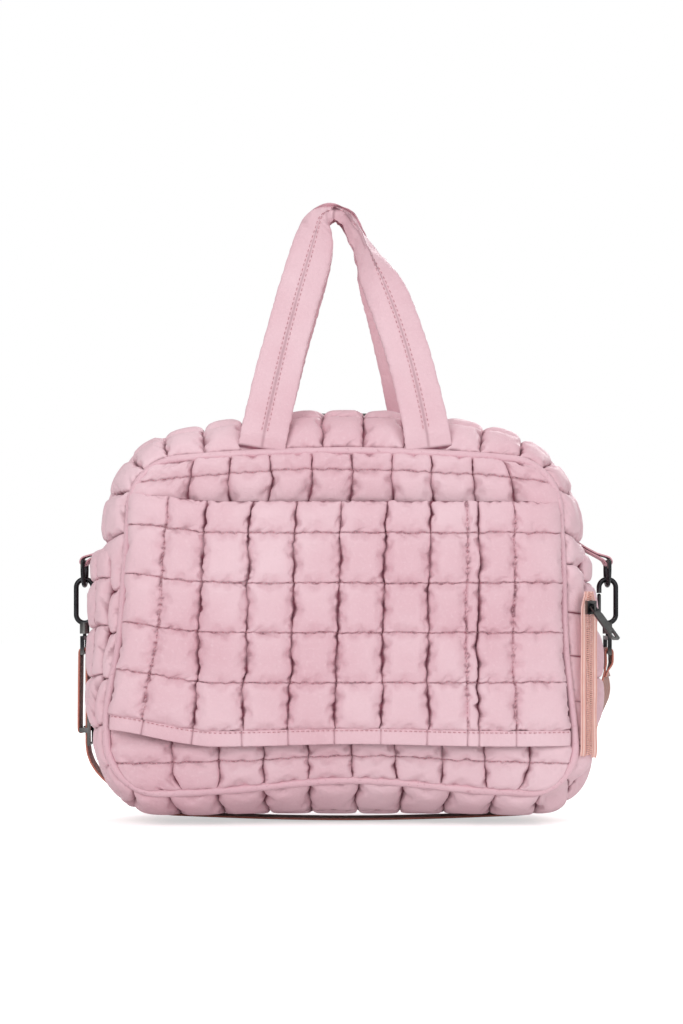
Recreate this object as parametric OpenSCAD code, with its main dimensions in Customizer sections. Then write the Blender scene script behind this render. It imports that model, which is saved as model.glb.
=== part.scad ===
// Quilted baby-changing bag with two carry handles, a rear-to-front suitcase sleeve,
// two side pockets, zips and a clip-on shoulder strap.
// Frame: X to the bag's right, -Y is the front, +Z up. The origin is the middle of the flat base.

/* [Body] */
// Half width of the body at mid depth
body_half_w = 196; // [194:1:198]
// Height of the body's crown above the base
body_h = 331; // [329:1:333]
// Radius of the arched top
crown_r = 560; // [555:5:565]
// Half depth at which the piping runs
seam_y = 78; // [77:1:78]
// Half width of the front and rear panels near their top corners
panel_top_half = 173; // [170:1:175]
// Half width of the front and rear panels near their bottom corners
panel_bottom_half = 186; // [184:1:187]
// Height of the panels' top edge
panel_top_z = 296; // [294:1:297]
// Height of the panels' bottom edge
panel_bottom_z = 20; // [20:1:22]
// Thickness of the padded walls
wall = 7; // [6:0.5:7]

/* [Front sleeve] */
// Half width between the sleeve's two divider seams
sleeve_half = 112; // [100:1:116]
// Height of the sleeve's hemmed bottom edge
sleeve_bottom_z = 60; // [56:1:66]
// Height of the sleeve's top edge
sleeve_top_z = 255; // [245:1:260]
// Gap between the front panel and the sleeve
sleeve_gap = 14; // [12:1:14]

/* [Handles] */
// Half width of a handle strap where it is sewn in
handle_half_w = 18; // [16:0.5:19]
// Height of the handle grip above the sewn end, along the leaning strap
handle_rise = 229; // [220:1:235]

/* [Shoulder strap] */
// Width of the webbing
strap_w = 30; // [28:1:31]
// Thickness of the webbing
strap_t = 1.8; // [1.6:0.1:1.8]
// Distance of the hooks and rings from the bag's middle plane
hook_x = 219; // [219:0.5:221]

/* [Hidden] */

$fn = 48;
pink = "#dfb3bf";
pink_dark = "#c996a4";
coral = "#d98a74";
tape_pink = "#f0c0b2";
black_metal = "#2b2c2b";
lining_grey = "#d9d2d0";

// ---- outlines of the body, seen from the front (X, Z) ----

// An outline: top and bottom half widths, top and bottom heights, corner radii, crown radius
function panel_line(inset) = [panel_top_half - inset, panel_bottom_half - inset,
    panel_top_z - inset, panel_bottom_z + inset, 42 - inset, 38 - inset, 1400];
function crown_line(inset) = [body_half_w - inset, body_half_w - inset,
    body_h - inset, inset, 75 - inset, 56 - inset, crown_r - inset];

function arc(centre, r, from, to, n) =
    [for (k = [0:n]) centre + r * [cos(from + (to - from) * k / n), sin(from + (to - from) * k / n)]];
function mix(a, b, t) = a + (b - a) * t;

function low_corner(o) = [o[1] - o[5], o[3] + o[5]];
function high_corner(o) =
    [o[0] - o[4], o[2] - o[6] + sqrt(pow(o[6] - o[4], 2) - pow(o[0] - o[4], 2))];
// Angle at which the slanting side touches both corner circles
function side_angle(o) =
    let (d = high_corner(o) - low_corner(o)) atan2(d.y, d.x) - acos((o[5] - o[4]) / norm(d));
// Angle at which the top corner runs into the crown arc
function crown_angle(o) = atan2(high_corner(o).y - (o[2] - o[6]), high_corner(o).x);

side_steps = [0.2, 0.4, 0.6, 0.8, 0.9, 1];
low_n = 3;
corner_n = 7;
crown_n = 8;
seam_i = low_n + corner_n + 5;                     // where the top gusset is sewn to the lower one
zip_i = low_n + 2 * corner_n + len(side_steps);    // where the top zip ends
half_n = zip_i + crown_n;

// Right half of an outline, from the middle of the base up to the middle of the top
function right_half(o) =
    let (lc = low_corner(o), hc = high_corner(o), a = side_angle(o), c = crown_angle(o),
        s0 = lc + o[5] * [cos(a), sin(a)], s1 = hc + o[4] * [cos(a), sin(a)])
    concat([for (k = [0:low_n - 1]) [lc.x * k / low_n, o[3]]],
        arc(lc, o[5], -90, a, corner_n),
        [for (t = side_steps) mix(s0, s1, t)],
        [for (k = [1:corner_n]) arc(hc, o[4], a, c, corner_n)[k]],
        [for (k = [1:crown_n]) arc([0, o[2] - o[6]], o[6], c, 90, crown_n)[k]]);
// Whole outline, anticlockwise as seen from the front, without the last point repeated
function whole(o) =
    let (r = right_half(o)) concat(r, [for (k = [half_n - 1:-1:1]) [-r[k].x, r[k].y]]);

flat_y = 26;    // half depth of the flat middle band of the gusset
gusset_end = seam_y - 3.4;
// 1 over the flat band, falling to 0 at the piping
function fullness(y) = abs(y) <= flat_y ? 1 : 1 - pow((abs(y) - flat_y) / (seam_y - flat_y), 2);
// The body's surface at outline point i and depth y
function body_row(inset, y) =
    let (p = whole(panel_line(inset)), c = whole(crown_line(inset)), t = fullness(y))
    [for (i = [0:len(p) - 1]) let (q = mix(p[i], c[i], t)) [q.x, y, q.y]];

// ---- closed solids made from two grids of points, the outer and the inner surface ----

module sheet(outer, inner) {
    n = len(outer);
    m = len(outer[0]);
    function at(side, i, j) = side * n * m + i * m + j;
    function quad(a, b, c, d) = [[a, c, b], [a, d, c]];
    polyhedron(points = concat([for (r = outer) each r], [for (r = inner) each r]),
        faces = concat(
            [for (i = [0:n - 2], j = [0:m - 2])
                each quad(at(0, i, j), at(0, i, j + 1), at(0, i + 1, j + 1), at(0, i + 1, j))],
            [for (i = [0:n - 2], j = [0:m - 2])
                each quad(at(1, i, j), at(1, i + 1, j), at(1, i + 1, j + 1), at(1, i, j + 1))],
            [for (i = [0:n - 2]) each quad(at(0, i, 0), at(0, i + 1, 0), at(1, i + 1, 0), at(1, i, 0))],
            [for (i = [0:n - 2])
                each quad(at(0, i, m - 1), at(1, i, m - 1), at(1, i + 1, m - 1), at(0, i + 1, m - 1))],
            [for (j = [0:m - 2]) each quad(at(0, 0, j), at(1, 0, j), at(1, 0, j + 1), at(0, 0, j + 1))],
            [for (j = [0:m - 2])
                each quad(at(0, n - 1, j), at(0, n - 1, j + 1), at(1, n - 1, j + 1), at(1, n - 1, j))]));
}

// A padded strip of the body between outline points first and last, and between two depths
module body_strip(first, last, depths) {
    count = 2 * half_n;
    out = [for (y = depths) body_row(0, y)];
    inn = [for (y = depths) body_row(wall, y)];
    sheet([for (i = [first:last]) [for (row = out) row[i % count]]],
        [for (i = [first:last]) [for (row = inn) row[i % count]]]);
}

// A closed tube of radius r along the panel outline at depth y
module piping(y, r) {
    path = whole(panel_line(0));
    n = len(path);
    sides = 8;
    function out_dir(i) =
        let (d = path[(i + 1) % n] - path[(i + n - 1) % n]) [d.y, -d.x] / norm(d);
    polyhedron(
        points = [for (i = [0:n - 1], k = [0:sides - 1])
            let (a = 360 * k / sides, q = path[i] + out_dir(i) * r * cos(a)) [q.x, y + r * sin(a), q.y]],
        faces = [for (i = [0:n - 1], k = [0:sides - 1])
            let (a = i * sides, b = ((i + 1) % n) * sides, k2 = (k + 1) % sides)
            each [[a + k, b + k, b + k2], [a + k, b + k2, a + k2]]]);
}

// Turns a front-view drawing (X, Z) into a plate between depths y0 and y1
module plate(y0, y1) {
    translate([0, y1, 0]) rotate([90, 0, 0]) linear_extrude(y1 - y0) children();
}

// ---- body ----

panel_gap = 3.6;
panel_back = seam_y - 3;
front_face = -(panel_back + 8);

module front_panel() color(pink) plate(front_face, -panel_back) polygon(whole(panel_line(panel_gap)));

module rear_panel() color(pink) hull() {
    plate(panel_back, panel_back + 5) polygon(whole(panel_line(panel_gap)));
    plate(panel_back + 5, panel_back + 13) polygon(whole(panel_line(30)));
}

gusset_depths = [-gusset_end, -66, -56, -44, -flat_y, -15];
module top_gusset_front() color(pink) body_strip(seam_i, 2 * half_n - seam_i, gusset_depths);
module top_gusset_rear() color(pink)
    body_strip(seam_i, 2 * half_n - seam_i, [for (k = [len(gusset_depths) - 1:-1:0]) -gusset_depths[k]]);
module lower_gusset() color(pink) union() {
    body_strip(2 * half_n - seam_i, 2 * half_n + seam_i,
        [-gusset_end, -66, -56, -44, -flat_y, 0, flat_y, 44, 56, 66, gusset_end]);
    translate([-120, -20, 0]) cube([240, 40, wall]);    // the flat padded base
}
module right_shoulder_strip() color(pink) body_strip(seam_i, zip_i, [-14.8, 14.8]);
module left_shoulder_strip() color(pink)
    body_strip(2 * half_n - zip_i, 2 * half_n - seam_i, [-14.8, 14.8]);

module front_piping() color(pink_dark) piping(-seam_y, 3.2);
module rear_piping() color(pink_dark) piping(seam_y, 3.2);

// ---- front sleeve, open at top and bottom between its divider seams ----

sleeve_t = 7;
sleeve_back = front_face - sleeve_gap;
// Half width of the sleeve at height z, just inside the piping
function sleeve_edge(z) =
    mix(panel_bottom_half, panel_top_half, (z - panel_bottom_z) / (panel_top_z - panel_bottom_z)) - 7;
module sleeve_shape(inset, z0, z1) {
    a = sleeve_edge(z0) - inset;
    b = sleeve_edge(z1) - inset;
    polygon([[-a, z0], [a, z0], [b, z1], [-b, z1]]);
}
module front_sleeve() color(pink) {
    edge = 6;
    seam = 3;
    join_y = front_face - 0.1;
    plate(sleeve_back - sleeve_t, sleeve_back) sleeve_shape(0, sleeve_bottom_z, sleeve_top_z);
    plate(sleeve_back, join_y) difference() {
        sleeve_shape(0, sleeve_bottom_z, sleeve_top_z);
        sleeve_shape(edge, sleeve_bottom_z + edge, sleeve_top_z + edge);
        translate([-sleeve_half, 0]) square([2 * sleeve_half, sleeve_top_z]);
    }
    for (s = [-1, 1]) plate(sleeve_back, join_y)
        translate([s * (sleeve_half + seam / 2) - seam / 2, sleeve_bottom_z])
            square([seam, sleeve_top_z - sleeve_bottom_z]);
}
module sleeve_hem() color(pink_dark)
    plate(sleeve_back - sleeve_t - 2.4, sleeve_back - sleeve_t - 0.1)
        sleeve_shape(1, sleeve_bottom_z - 1, sleeve_bottom_z + 16);

// ---- side pockets: sheets that stand off the lower gusset ----

pocket_out = 10;    // how far a pocket's outer face stands off the body
pocket_t = 5;
pocket_half_y = 66;
low_z = 56;         // where the side rises straight from the bottom corner
// Point at s on the right flank: s below 0 is an angle on the bottom corner, s above 0 a height on the side
function flank(o, s) =
    let (lc = low_corner(o), a = side_angle(o), start = lc + o[5] * [cos(a), sin(a)])
    s < 0 ? lc + o[5] * [cos(s + a), sin(s + a)] : start + s * [-sin(a), cos(a)];
function flank_lift(s) = s < 0 ? pow(cos(s), 6) : 1;
function pocket_point(s, y, lift) =
    let (p = flank(panel_line(0), s), c = flank(crown_line(0), s), q = mix(p, c, fullness(y)),
        off = max(0.4, lift * flank_lift(s) * (1 - pow(y / pocket_half_y, 4))))
    [q.x + off * cos(min(s, 0)), y, q.y + off * sin(min(s, 0))];

module pocket(top, depths, closed) {
    up = [for (k = [1:8]) top * k / 8];
    stations = concat([-38, -28, -18, -9, 0], up);
    inner_lift = function (s) closed && s == top ? 0.4 : pocket_out - pocket_t;
    sheet([for (s = stations) [for (y = depths) pocket_point(s, y, pocket_out) + [0.4, 0, 0]]],
        [for (s = stations) [for (y = depths) pocket_point(s, y, inner_lift(s))]]);
}

left_pocket_top = 213;
right_pocket_top = 213;
pocket_depths = [-66, -58, -45, -22, 0, 22, 45, 58, 66];
module left_bottle_pocket() color(pink) mirror([1, 0, 0])
    pocket(left_pocket_top - low_z, pocket_depths, false);
module right_zip_pocket() color(pink)
    pocket(right_pocket_top - low_z, [-49, -36, -18, 0, 18, 36, 50, 60, 66], true);
module left_pocket_elastic() color(pink_dark) mirror([1, 0, 0]) {
    depths = [for (k = [1:len(pocket_depths) - 2]) pocket_depths[k]];
    stations = [left_pocket_top - low_z - 9, left_pocket_top - low_z];
    sheet([for (s = stations) [for (y = depths) pocket_point(s, y, pocket_out) + [2, 0, 0]]],
        [for (s = stations) [for (y = depths) pocket_point(s, y, pocket_out) + [0.6, 0, 0]]]);
}

// ---- zips. Local frame: X away from the tape, Y across it, Z along the chain ----

tape_h = 1.2;
coil_h = 2.5;
coil_half = 3;
coil_gap = 0.5;
tape_half = 14.6;

module slider() color(black_metal) {
    length = 11;
    translate([0, 0, -length / 2]) linear_extrude(length) {
        translate([coil_h + 0.4, -5.2]) square([1.4, 10.4]);                // top plate
        translate([-2, -5.2]) square([1.6, 10.4]);                          // bottom plate
        translate([-1, -0.25]) square([coil_h + 2, 0.5]);                   // web between the two coils
        for (s = [-1, 1]) translate([tape_h + 0.4, s * 4.5 - 0.7]) square([coil_h - tape_h + 0.2, 1.4]);
    }
    bail_x = coil_h + 1.7;
    for (s = [-1, 1]) translate([bail_x, -1.1, s * 2.4 - 0.5]) cube([3.4, 2.2, 1]);
    translate([bail_x + 2.6, -1.1, -2.9]) cube([1, 2.2, 5.8]);
}
puller_x = coil_h + 3;      // height of the puller's hinge bar above the tape's back
module puller(length, width) color(black_metal) {
    translate([puller_x, 0, 0]) {
        rotate([90, 0, 0]) cylinder(r = 0.75, h = 6.8, center = true);
        for (s = [-1, 1]) translate([-0.75, s * 2.55 - 0.85, 0]) cube([1.5, 1.7, 4.6]);
        translate([-0.8, 0, 0]) rotate([90, 0, 90]) linear_extrude(1.6) difference() {
            hull() {
                translate([-width / 2 + 1.5, 4.2]) square([width - 3, 1]);
                for (s = [-1, 1], z = [8, length - 2])
                    translate([s * (width / 2 - 2), z]) circle(r = 2, $fn = 32);
            }
            hull() for (z = [length * 0.78, length - 4]) translate([0, z]) circle(r = width / 5, $fn = 32);
        }
    }
}

// Top zip: the chain follows the crown arc, so its sliders turn about the arc's centre
zip_r = crown_r - 5;
zip_centre_z = body_h - crown_r;
zip_half_angle = 90 - crown_angle(crown_line(0));
slider_angle = 0.62;

module zip_arc(r0, r1, y0, y1) {
    translate([0, 0, zip_centre_z]) rotate([90, 0, 0]) rotate([0, 0, 90 - zip_half_angle])
        rotate_extrude(angle = 2 * zip_half_angle, $fn = 180) translate([r0, -y1]) square([r1 - r0, y1 - y0]);
}
module on_top_zip(angle, turn) {
    translate([0, 0, zip_centre_z]) rotate([0, angle, 0]) translate([0, 0, zip_r])
        rotate([0, -90, 0]) rotate([turn, 0, 0]) children();
}
module top_zip_tape_front() color(tape_pink) zip_arc(zip_r, zip_r + tape_h, -tape_half, -coil_half - 0.2);
module top_zip_tape_rear() color(tape_pink) zip_arc(zip_r, zip_r + tape_h, coil_half + 0.2, tape_half);
module top_zip_coil() color(coral) {
    zip_arc(zip_r, zip_r + coil_h, -coil_half, -coil_gap);
    zip_arc(zip_r, zip_r + coil_h, coil_gap, coil_half);
}
module top_zip_slider_left() on_top_zip(-slider_angle, 0) slider();
module top_zip_slider_right() on_top_zip(slider_angle, 180) slider();
module top_zip_puller_left() on_top_zip(-slider_angle, 0) puller(30, 8);
module top_zip_puller_right() on_top_zip(slider_angle, 180) puller(30, 8);

// Side zip: a straight chain up the front edge of the right pocket
side_zip_at = [195.5, -74.5];
side_zip_turn = -50;
side_zip_z = [44, 182];
side_slider_z = 170;
side_puller_lift = 45;
side_tape_half = 9;

module on_side_zip(z, turn) translate([side_zip_at.x, side_zip_at.y, z])
    rotate([0, 0, side_zip_turn]) rotate([turn, 0, 0]) children();
module side_zip_tapes() color(tape_pink) on_side_zip(side_zip_z[0], 0)
    linear_extrude(side_zip_z[1] - side_zip_z[0]) for (s = [-1, 1])
        translate([0, s < 0 ? -side_tape_half : coil_half + 0.2])
            square([tape_h, side_tape_half - coil_half - 0.2]);
module side_zip_coil() color(coral) on_side_zip(side_zip_z[0], 0)
    linear_extrude(side_zip_z[1] - side_zip_z[0]) for (s = [-1, 1])
        translate([0, s < 0 ? -coil_half : coil_gap]) square([coil_h, coil_half - coil_gap]);
module side_zip_slider() on_side_zip(side_slider_z, 180) slider();
module side_zip_puller() on_side_zip(side_slider_z, 180)
    translate([puller_x, 0, 0]) rotate([0, side_puller_lift, 0]) translate([-puller_x, 0, 0]) puller(36, 9);

// ---- carry handles: straps that narrow as they fold together at the grip ----

handle_hinge = [-(seam_y + 8), panel_top_z - 2];    // (Y, Z) of the sewn end
grip_y = -6.6;
handle_lean = atan2(grip_y - handle_hinge.x, 212);
grip_x = -9.6;
grip_r = 13;
grip_half_w = 9;
grip_v = handle_rise - grip_half_w - grip_r;
left_foot = [-68.7, 0];
right_foot = [67.4, 0];
left_turn = 167;
right_turn = 26;

function bezier(a, b, c, t) = (1 - t) * (1 - t) * a + 2 * t * (1 - t) * b + t * t * c;
function handle_path() =
    let (g = [grip_x, grip_v], l1 = g + grip_r * [cos(left_turn), sin(left_turn)],
        r1 = g + grip_r * [cos(right_turn), sin(right_turn)])
    concat([for (k = [0:7]) mix(left_foot, l1, k / 8)],
        arc(g, grip_r, left_turn, right_turn, 9),
        [for (k = [1:10]) bezier(r1, [48, 120], right_foot, k / 10)]);
// 0 at the sewn ends, 1 at the grip
function gather(v) = let (q = max(0, min(1, (v - 0.45 * grip_v) / (0.6 * grip_v)))) q * q * (3 - 2 * q);

module handle() {
    path = handle_path();
    n = len(path);
    shape = [[-1, -0.6], [-0.7, -1], [0.7, -1], [1, -0.6], [1, 0.6], [0.7, 1], [-0.7, 1], [-1, 0.6]];
    function across(i) =
        let (d = path[min(i + 1, n - 1)] - path[max(i - 1, 0)]) [d.y, -d.x] / norm(d);
    function ring(i) =
        let (g = gather(path[i].y), w = mix(handle_half_w, grip_half_w, g), t = mix(2, 5, g))
        [for (s = shape) let (q = path[i] + across(i) * w * s.x) [q.x, t * s.y, q.y]];
    pts = [for (i = [0:n - 1]) each ring(i)];
    m = len(shape);
    translate([0, handle_hinge.x, handle_hinge.y]) rotate([-handle_lean, 0, 0])
        polyhedron(points = pts, faces = concat(
            [[for (k = [0:m - 1]) k]],
            [for (i = [0:n - 2], k = [0:m - 1])
                let (a = i * m, b = (i + 1) * m, k2 = (k + 1) % m)
                each [[a + k, b + k, b + k2], [a + k, b + k2, a + k2]]],
            [[for (k = [m - 1:-1:0]) (n - 1) * m + k]]));
}
module front_handle() color(pink) handle();
module rear_handle() color(pink) mirror([0, 1, 0]) handle();

// ---- rings and their tabs ----

wire_r = 1.9;
ring_r = 14.5;              // centre line of the ring's curve
ring_bar_z = 208;
ring_centre_z = 202.9;      // the hooks slide round this point, so the strap swings about it
tab_t = 1.6;
tab_half_y = 12;

module d_ring() color(black_metal) translate([hook_x, 0, 0]) {
    translate([0, 0, ring_bar_z]) rotate([90, 0, 0]) cylinder(r = wire_r, h = 2 * ring_r, center = true);
    for (s = [-1, 1]) {
        translate([0, s * ring_r, ring_bar_z]) sphere(r = wire_r);
        translate([0, s * ring_r, ring_centre_z]) cylinder(r = wire_r, h = ring_bar_z - ring_centre_z);
    }
    translate([0, 0, ring_centre_z]) rotate([0, 90, 0]) rotate([0, 0, -90])
        rotate_extrude(angle = 180) translate([ring_r, 0]) circle(r = wire_r);
}
// A folded webbing tab: a loop round the ring's bar, and a doubled leaf sewn to the gusset above the pocket
module ring_tab(bend_z, sewn) {
    bore_r = wire_r + 0.3;
    loop_r = bore_r + tab_t;
    hang_x = hook_x - 2.6;
    color(pink_dark) translate([0, tab_half_y, 0]) rotate([90, 0, 0])
    linear_extrude(2 * tab_half_y) difference() {
        union() {
            translate([hook_x, ring_bar_z]) circle(r = loop_r);
            polygon([[hang_x - tab_t, ring_bar_z + 1], [hang_x + tab_t, ring_bar_z + 1],
                [hang_x + tab_t, bend_z + 1], [sewn.x + 1.2, sewn.y + 2.4], [sewn.x - 0.6, sewn.y],
                [hang_x - tab_t, bend_z - 1]]);
        }
        translate([hook_x, ring_bar_z]) circle(r = bore_r);
    }
}
module left_ring_tab() mirror([1, 0, 0]) ring_tab(left_pocket_top + 4, [197.4, 239]);
module right_ring_tab() ring_tab(right_pocket_top + 4, [197.4, 239]);
module left_d_ring() mirror([1, 0, 0]) d_ring();
module right_d_ring() d_ring();

// ---- swivel snap hooks. Drawn for the right side, with the gate towards the bag ----

rod_r = 2.1;
hook_r = 7;                                 // centre line of the hook's two bends
hook_gap = 1.2;
top_bend_z = ring_centre_z - ring_r + wire_r + hook_gap + rod_r - hook_r;
low_bend_z = 164;
collar_z = [148, 157.5];
bill_z = top_bend_z - 4.6;
gate_len = bill_z - 0.4 - low_bend_z;
gate_r = 1.6;
pin_r = 0.8;
ear_y = [2.6, 3.7];

module half_bend(z, turn) translate([0, 0, z]) rotate([90, turn, 0])
    rotate_extrude(angle = 180) translate([hook_r, 0]) circle(r = rod_r);
module hook_body() color(black_metal) translate([hook_x, 0, 0]) difference() {
    union() {
        half_bend(top_bend_z, 0);
        translate([0, 0, low_bend_z]) rotate([-90, 0, 0])
            rotate_extrude(angle = 160) translate([hook_r, 0]) circle(r = rod_r);
        translate([hook_r, 0, low_bend_z]) cylinder(r = rod_r, h = top_bend_z - low_bend_z);
        translate([-hook_r, 0, bill_z]) cylinder(r = rod_r, h = top_bend_z - bill_z);
        translate([0, 0, collar_z[0]]) cylinder(r = 4, h = collar_z[1] - collar_z[0]);
        for (s = [-1, 1]) translate([-hook_r, s * (ear_y[0] + ear_y[1]) / 2, low_bend_z])
            rotate([90, 0, 0]) cylinder(r = 2.4, h = ear_y[1] - ear_y[0], center = true);
        translate([-hook_r - 1.2, -ear_y[1], low_bend_z - 5.2]) cube([3.4, 2 * ear_y[1], 2.6]);
        for (s = [-1, 1]) translate([-hook_r - 1.2, s * (ear_y[0] + ear_y[1]) / 2 - 0.55, low_bend_z - 3])
            cube([3.4, 1.1, 3]);
    }
    translate([0, 0, collar_z[0] - 1]) cylinder(r = 1.58, h = 4.2);
    translate([0, 0, collar_z[0] + 3]) cylinder(r = 3, h = 3.4);
    translate([-hook_r, 0, low_bend_z]) rotate([90, 0, 0]) cylinder(r = pin_r, h = 9, center = true);
}
module hook_gate() color(black_metal) translate([hook_x - hook_r, 0, low_bend_z]) difference() {
    union() {
        rotate([90, 0, 0]) cylinder(r = 2, h = 2.4, center = true);
        cylinder(r = gate_r, h = gate_len - gate_r);
        translate([0, 0, gate_len - gate_r]) sphere(r = gate_r);
    }
    rotate([90, 0, 0]) cylinder(r = pin_r + 0.06, h = 9, center = true);
    for (s = [-1, 1]) translate([-4, s * 3.2 - 2, -4]) cube([8, 4, 7]);
}
module gate_pin() color(black_metal) translate([hook_x - hook_r, 0, low_bend_z])
    rotate([90, 0, 0]) cylinder(r = pin_r, h = 2 * ear_y[1], center = true);
module gate_spring() color("silver") translate([hook_x - hook_r, 0, low_bend_z]) rotate([90, 0, 0])
    for (y = [-2.2, -1.6, 1.6, 2.2]) translate([0, 0, y])
        rotate_extrude() translate([1.35, 0]) circle(r = 0.26, $fn = 16);
eye_bar_z = 133;
eye_top_z = 144.6;
module swivel_eye() color(black_metal) translate([hook_x, 0, 0]) {
    half = strap_w / 2 + 2.6;
    rail = 3.2;
    translate([0, 0, eye_bar_z]) rotate([90, 0, 0]) cylinder(r = wire_r, h = 2 * half, center = true);
    for (s = [-1, 1]) translate([-rail / 2, s * half - rail / 2, eye_bar_z - 2.4])
        cube([rail, rail, eye_top_z - eye_bar_z + 2.4 + rail / 2]);
    translate([-rail / 2, -half, eye_top_z - rail / 2]) cube([rail, 2 * half, rail]);
    translate([0, 0, eye_top_z]) cylinder(r = 1.5, h = collar_z[0] + 5 - eye_top_z);
    translate([0, 0, collar_z[0] + 3.4]) cylinder(r = 2.6, h = 2.4);
}
module left_hook_body() mirror([1, 0, 0]) hook_body();
module right_hook_body() hook_body();
module left_hook_gate() mirror([1, 0, 0]) hook_gate();
module right_hook_gate() hook_gate();
module left_gate_pin() mirror([1, 0, 0]) gate_pin();
module right_gate_pin() gate_pin();
module left_gate_spring() mirror([1, 0, 0]) gate_spring();
module right_gate_spring() gate_spring();
module left_swivel_eye() mirror([1, 0, 0]) swivel_eye();
module right_swivel_eye() swivel_eye();

// ---- shoulder strap: one band that runs down both sides and under the base ----

loop_r = wire_r + 0.2 + strap_t / 2;    // centre line of the webbing where it turns over an eye's bar
run_x = hook_x - loop_r;                // the strap's straight run beside the pocket
sag = 10;
under_z = 4.6;
corner_c = low_corner(crown_line(0));
corner_r = corner_c.y + under_z;
function corner_run(a) =
    corner_c + (corner_r + (run_x - corner_c.x - corner_r) * pow(cos(a), 6)) * [cos(a), sin(a)];
// Half of the strap's centre line, from the eye down and under to the middle of the base
function strap_half() = concat(
    [[run_x, eye_bar_z]],
    [for (k = [0:12]) corner_run(-90 * k / 12)],
    [for (k = [1:6]) let (t = k / 6) [corner_c.x * (1 - t), -under_z - (sag - under_z) * sin(90 * t)]]);
function band(path, t) =
    let (n = len(path), side = [for (i = [0:n - 1])
        let (d = path[min(i + 1, n - 1)] - path[max(i - 1, 0)]) [-d.y, d.x] / norm(d) * t / 2])
    concat([for (i = [0:n - 1]) path[i] + side[i]], [for (i = [n - 1:-1:0]) path[i] - side[i]]);
module webbing(path) {
    translate([0, strap_w / 2, 0]) rotate([90, 0, 0]) linear_extrude(strap_w) polygon(band(path, strap_t));
}
module strap_webbing() color(coral) {
    half = strap_half();
    leaf_x = run_x + strap_t + 0.2;     // the sewn-down leaf that comes off the right eye's bar
    webbing(concat([[leaf_x, eye_bar_z - 46], [leaf_x, eye_bar_z - 26], [hook_x + loop_r, eye_bar_z - 14]],
        arc([hook_x, eye_bar_z], loop_r, 0, 180, 12),
        [for (k = [1:len(half) - 1]) half[k]],
        [for (k = [len(half) - 2:-1:0]) [-half[k].x, half[k].y]]));
}
adjuster_z = 68;
bar_r = 1.1;
strap_mid_x = run_x + strap_t / 2;
centre_bar_x = strap_mid_x + 0.2 + strap_t + bar_r + 0.5;
module strap_length_loop() color(coral) mirror([1, 0, 0]) {
    wrap = bar_r + 0.15 + strap_t / 2;
    webbing(concat(arc([hook_x, eye_bar_z], loop_r, 172, 0, 12),
        [[centre_bar_x + wrap, adjuster_z + 12]],
        arc([centre_bar_x, adjuster_z], wrap, 0, -178, 10)));
}
module strap_adjuster() color(black_metal) mirror([1, 0, 0]) {
    half = strap_w / 2 + 2.2;
    inner_x = run_x - strap_t / 2 - 0.3 - bar_r;
    reach = 12;
    for (s = [-1, 1]) {
        translate([inner_x, 0, adjuster_z + s * reach]) rotate([90, 0, 0])
            cylinder(r = bar_r, h = 2 * half, center = true);
        translate([inner_x - bar_r, s * half - 1.5, adjuster_z - reach - 1])
            cube([2 * bar_r, 3, 2 * reach + 2]);
        translate([inner_x, s * half - 1.5, adjuster_z - 2])
            cube([centre_bar_x - inner_x + bar_r, 3, 4]);
    }
    translate([centre_bar_x, 0, adjuster_z]) rotate([90, 0, 0])
        cylinder(r = bar_r, h = 2 * half, center = true);
}

// ---- inside ----

module lining_form(inset, reach) hull() for (s = [-1, 1]) {
    translate([0, s * (reach - 0.1), 0]) plate(-0.1, 0.1) polygon(whole(panel_line(inset)));
    translate([0, s * (flat_y - 1), 0]) plate(-0.1, 0.1) polygon(whole(crown_line(inset)));
}
module lining() color(lining_grey) difference() {
    lining_form(wall + 2.4, panel_back - 1);
    lining_form(wall + 3.6, panel_back - 2.2);
    translate([-135, -14, 280]) cube([270, 28, 60]);
}
module base_stiffener() color("white") translate([0, 0, wall + 0.3]) linear_extrude(1.6) hull()
    for (x = [-128, 128], y = [-16, 16]) translate([x, y]) circle(r = 8);
lining_face = panel_back - 2.2;
module inner_elastic_pocket() color(lining_grey) {
    for (x = [-110, 0, 110]) translate([x - 1, -lining_face + 0.1, 50]) cube([2, 7, 120]);
    translate([-111, -lining_face + 7.1, 50]) cube([222, 1.4, 120]);
    translate([-111, -lining_face + 0.1, 50]) cube([222, 7, 1.4]);
}
module inner_slip_pocket() color(lining_grey) {
    for (x = [-90, 90]) translate([x - 1, lining_face - 6.1, 90]) cube([2, 6, 100]);
    translate([-91, lining_face - 7.5, 90]) cube([182, 1.4, 100]);
    translate([-91, lining_face - 6.1, 90]) cube([182, 6, 1.4]);
}

front_panel();
rear_panel();
lower_gusset();
top_gusset_front();
top_gusset_rear();
left_shoulder_strip();
right_shoulder_strip();
front_piping();
rear_piping();
front_sleeve();
sleeve_hem();
left_bottle_pocket();
left_pocket_elastic();
right_zip_pocket();
side_zip_tapes();
side_zip_coil();
side_zip_slider();
side_zip_puller();
top_zip_tape_front();
top_zip_tape_rear();
top_zip_coil();
top_zip_slider_left();
top_zip_slider_right();
top_zip_puller_left();
top_zip_puller_right();
front_handle();
rear_handle();
left_ring_tab();
right_ring_tab();
left_d_ring();
right_d_ring();
left_hook_body();
right_hook_body();
left_hook_gate();
right_hook_gate();
left_gate_pin();
right_gate_pin();
left_gate_spring();
right_gate_spring();
left_swivel_eye();
right_swivel_eye();
strap_webbing();
strap_length_loop();
strap_adjuster();
lining();
base_stiffener();
inner_elastic_pocket();
inner_slip_pocket();
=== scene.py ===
"""Quilted diaper bag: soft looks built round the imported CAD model.

Lengths are millimetres until a mesh is made. +X is the bag's right as drawn, -Y its front and +Z up.
"""
import math

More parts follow.
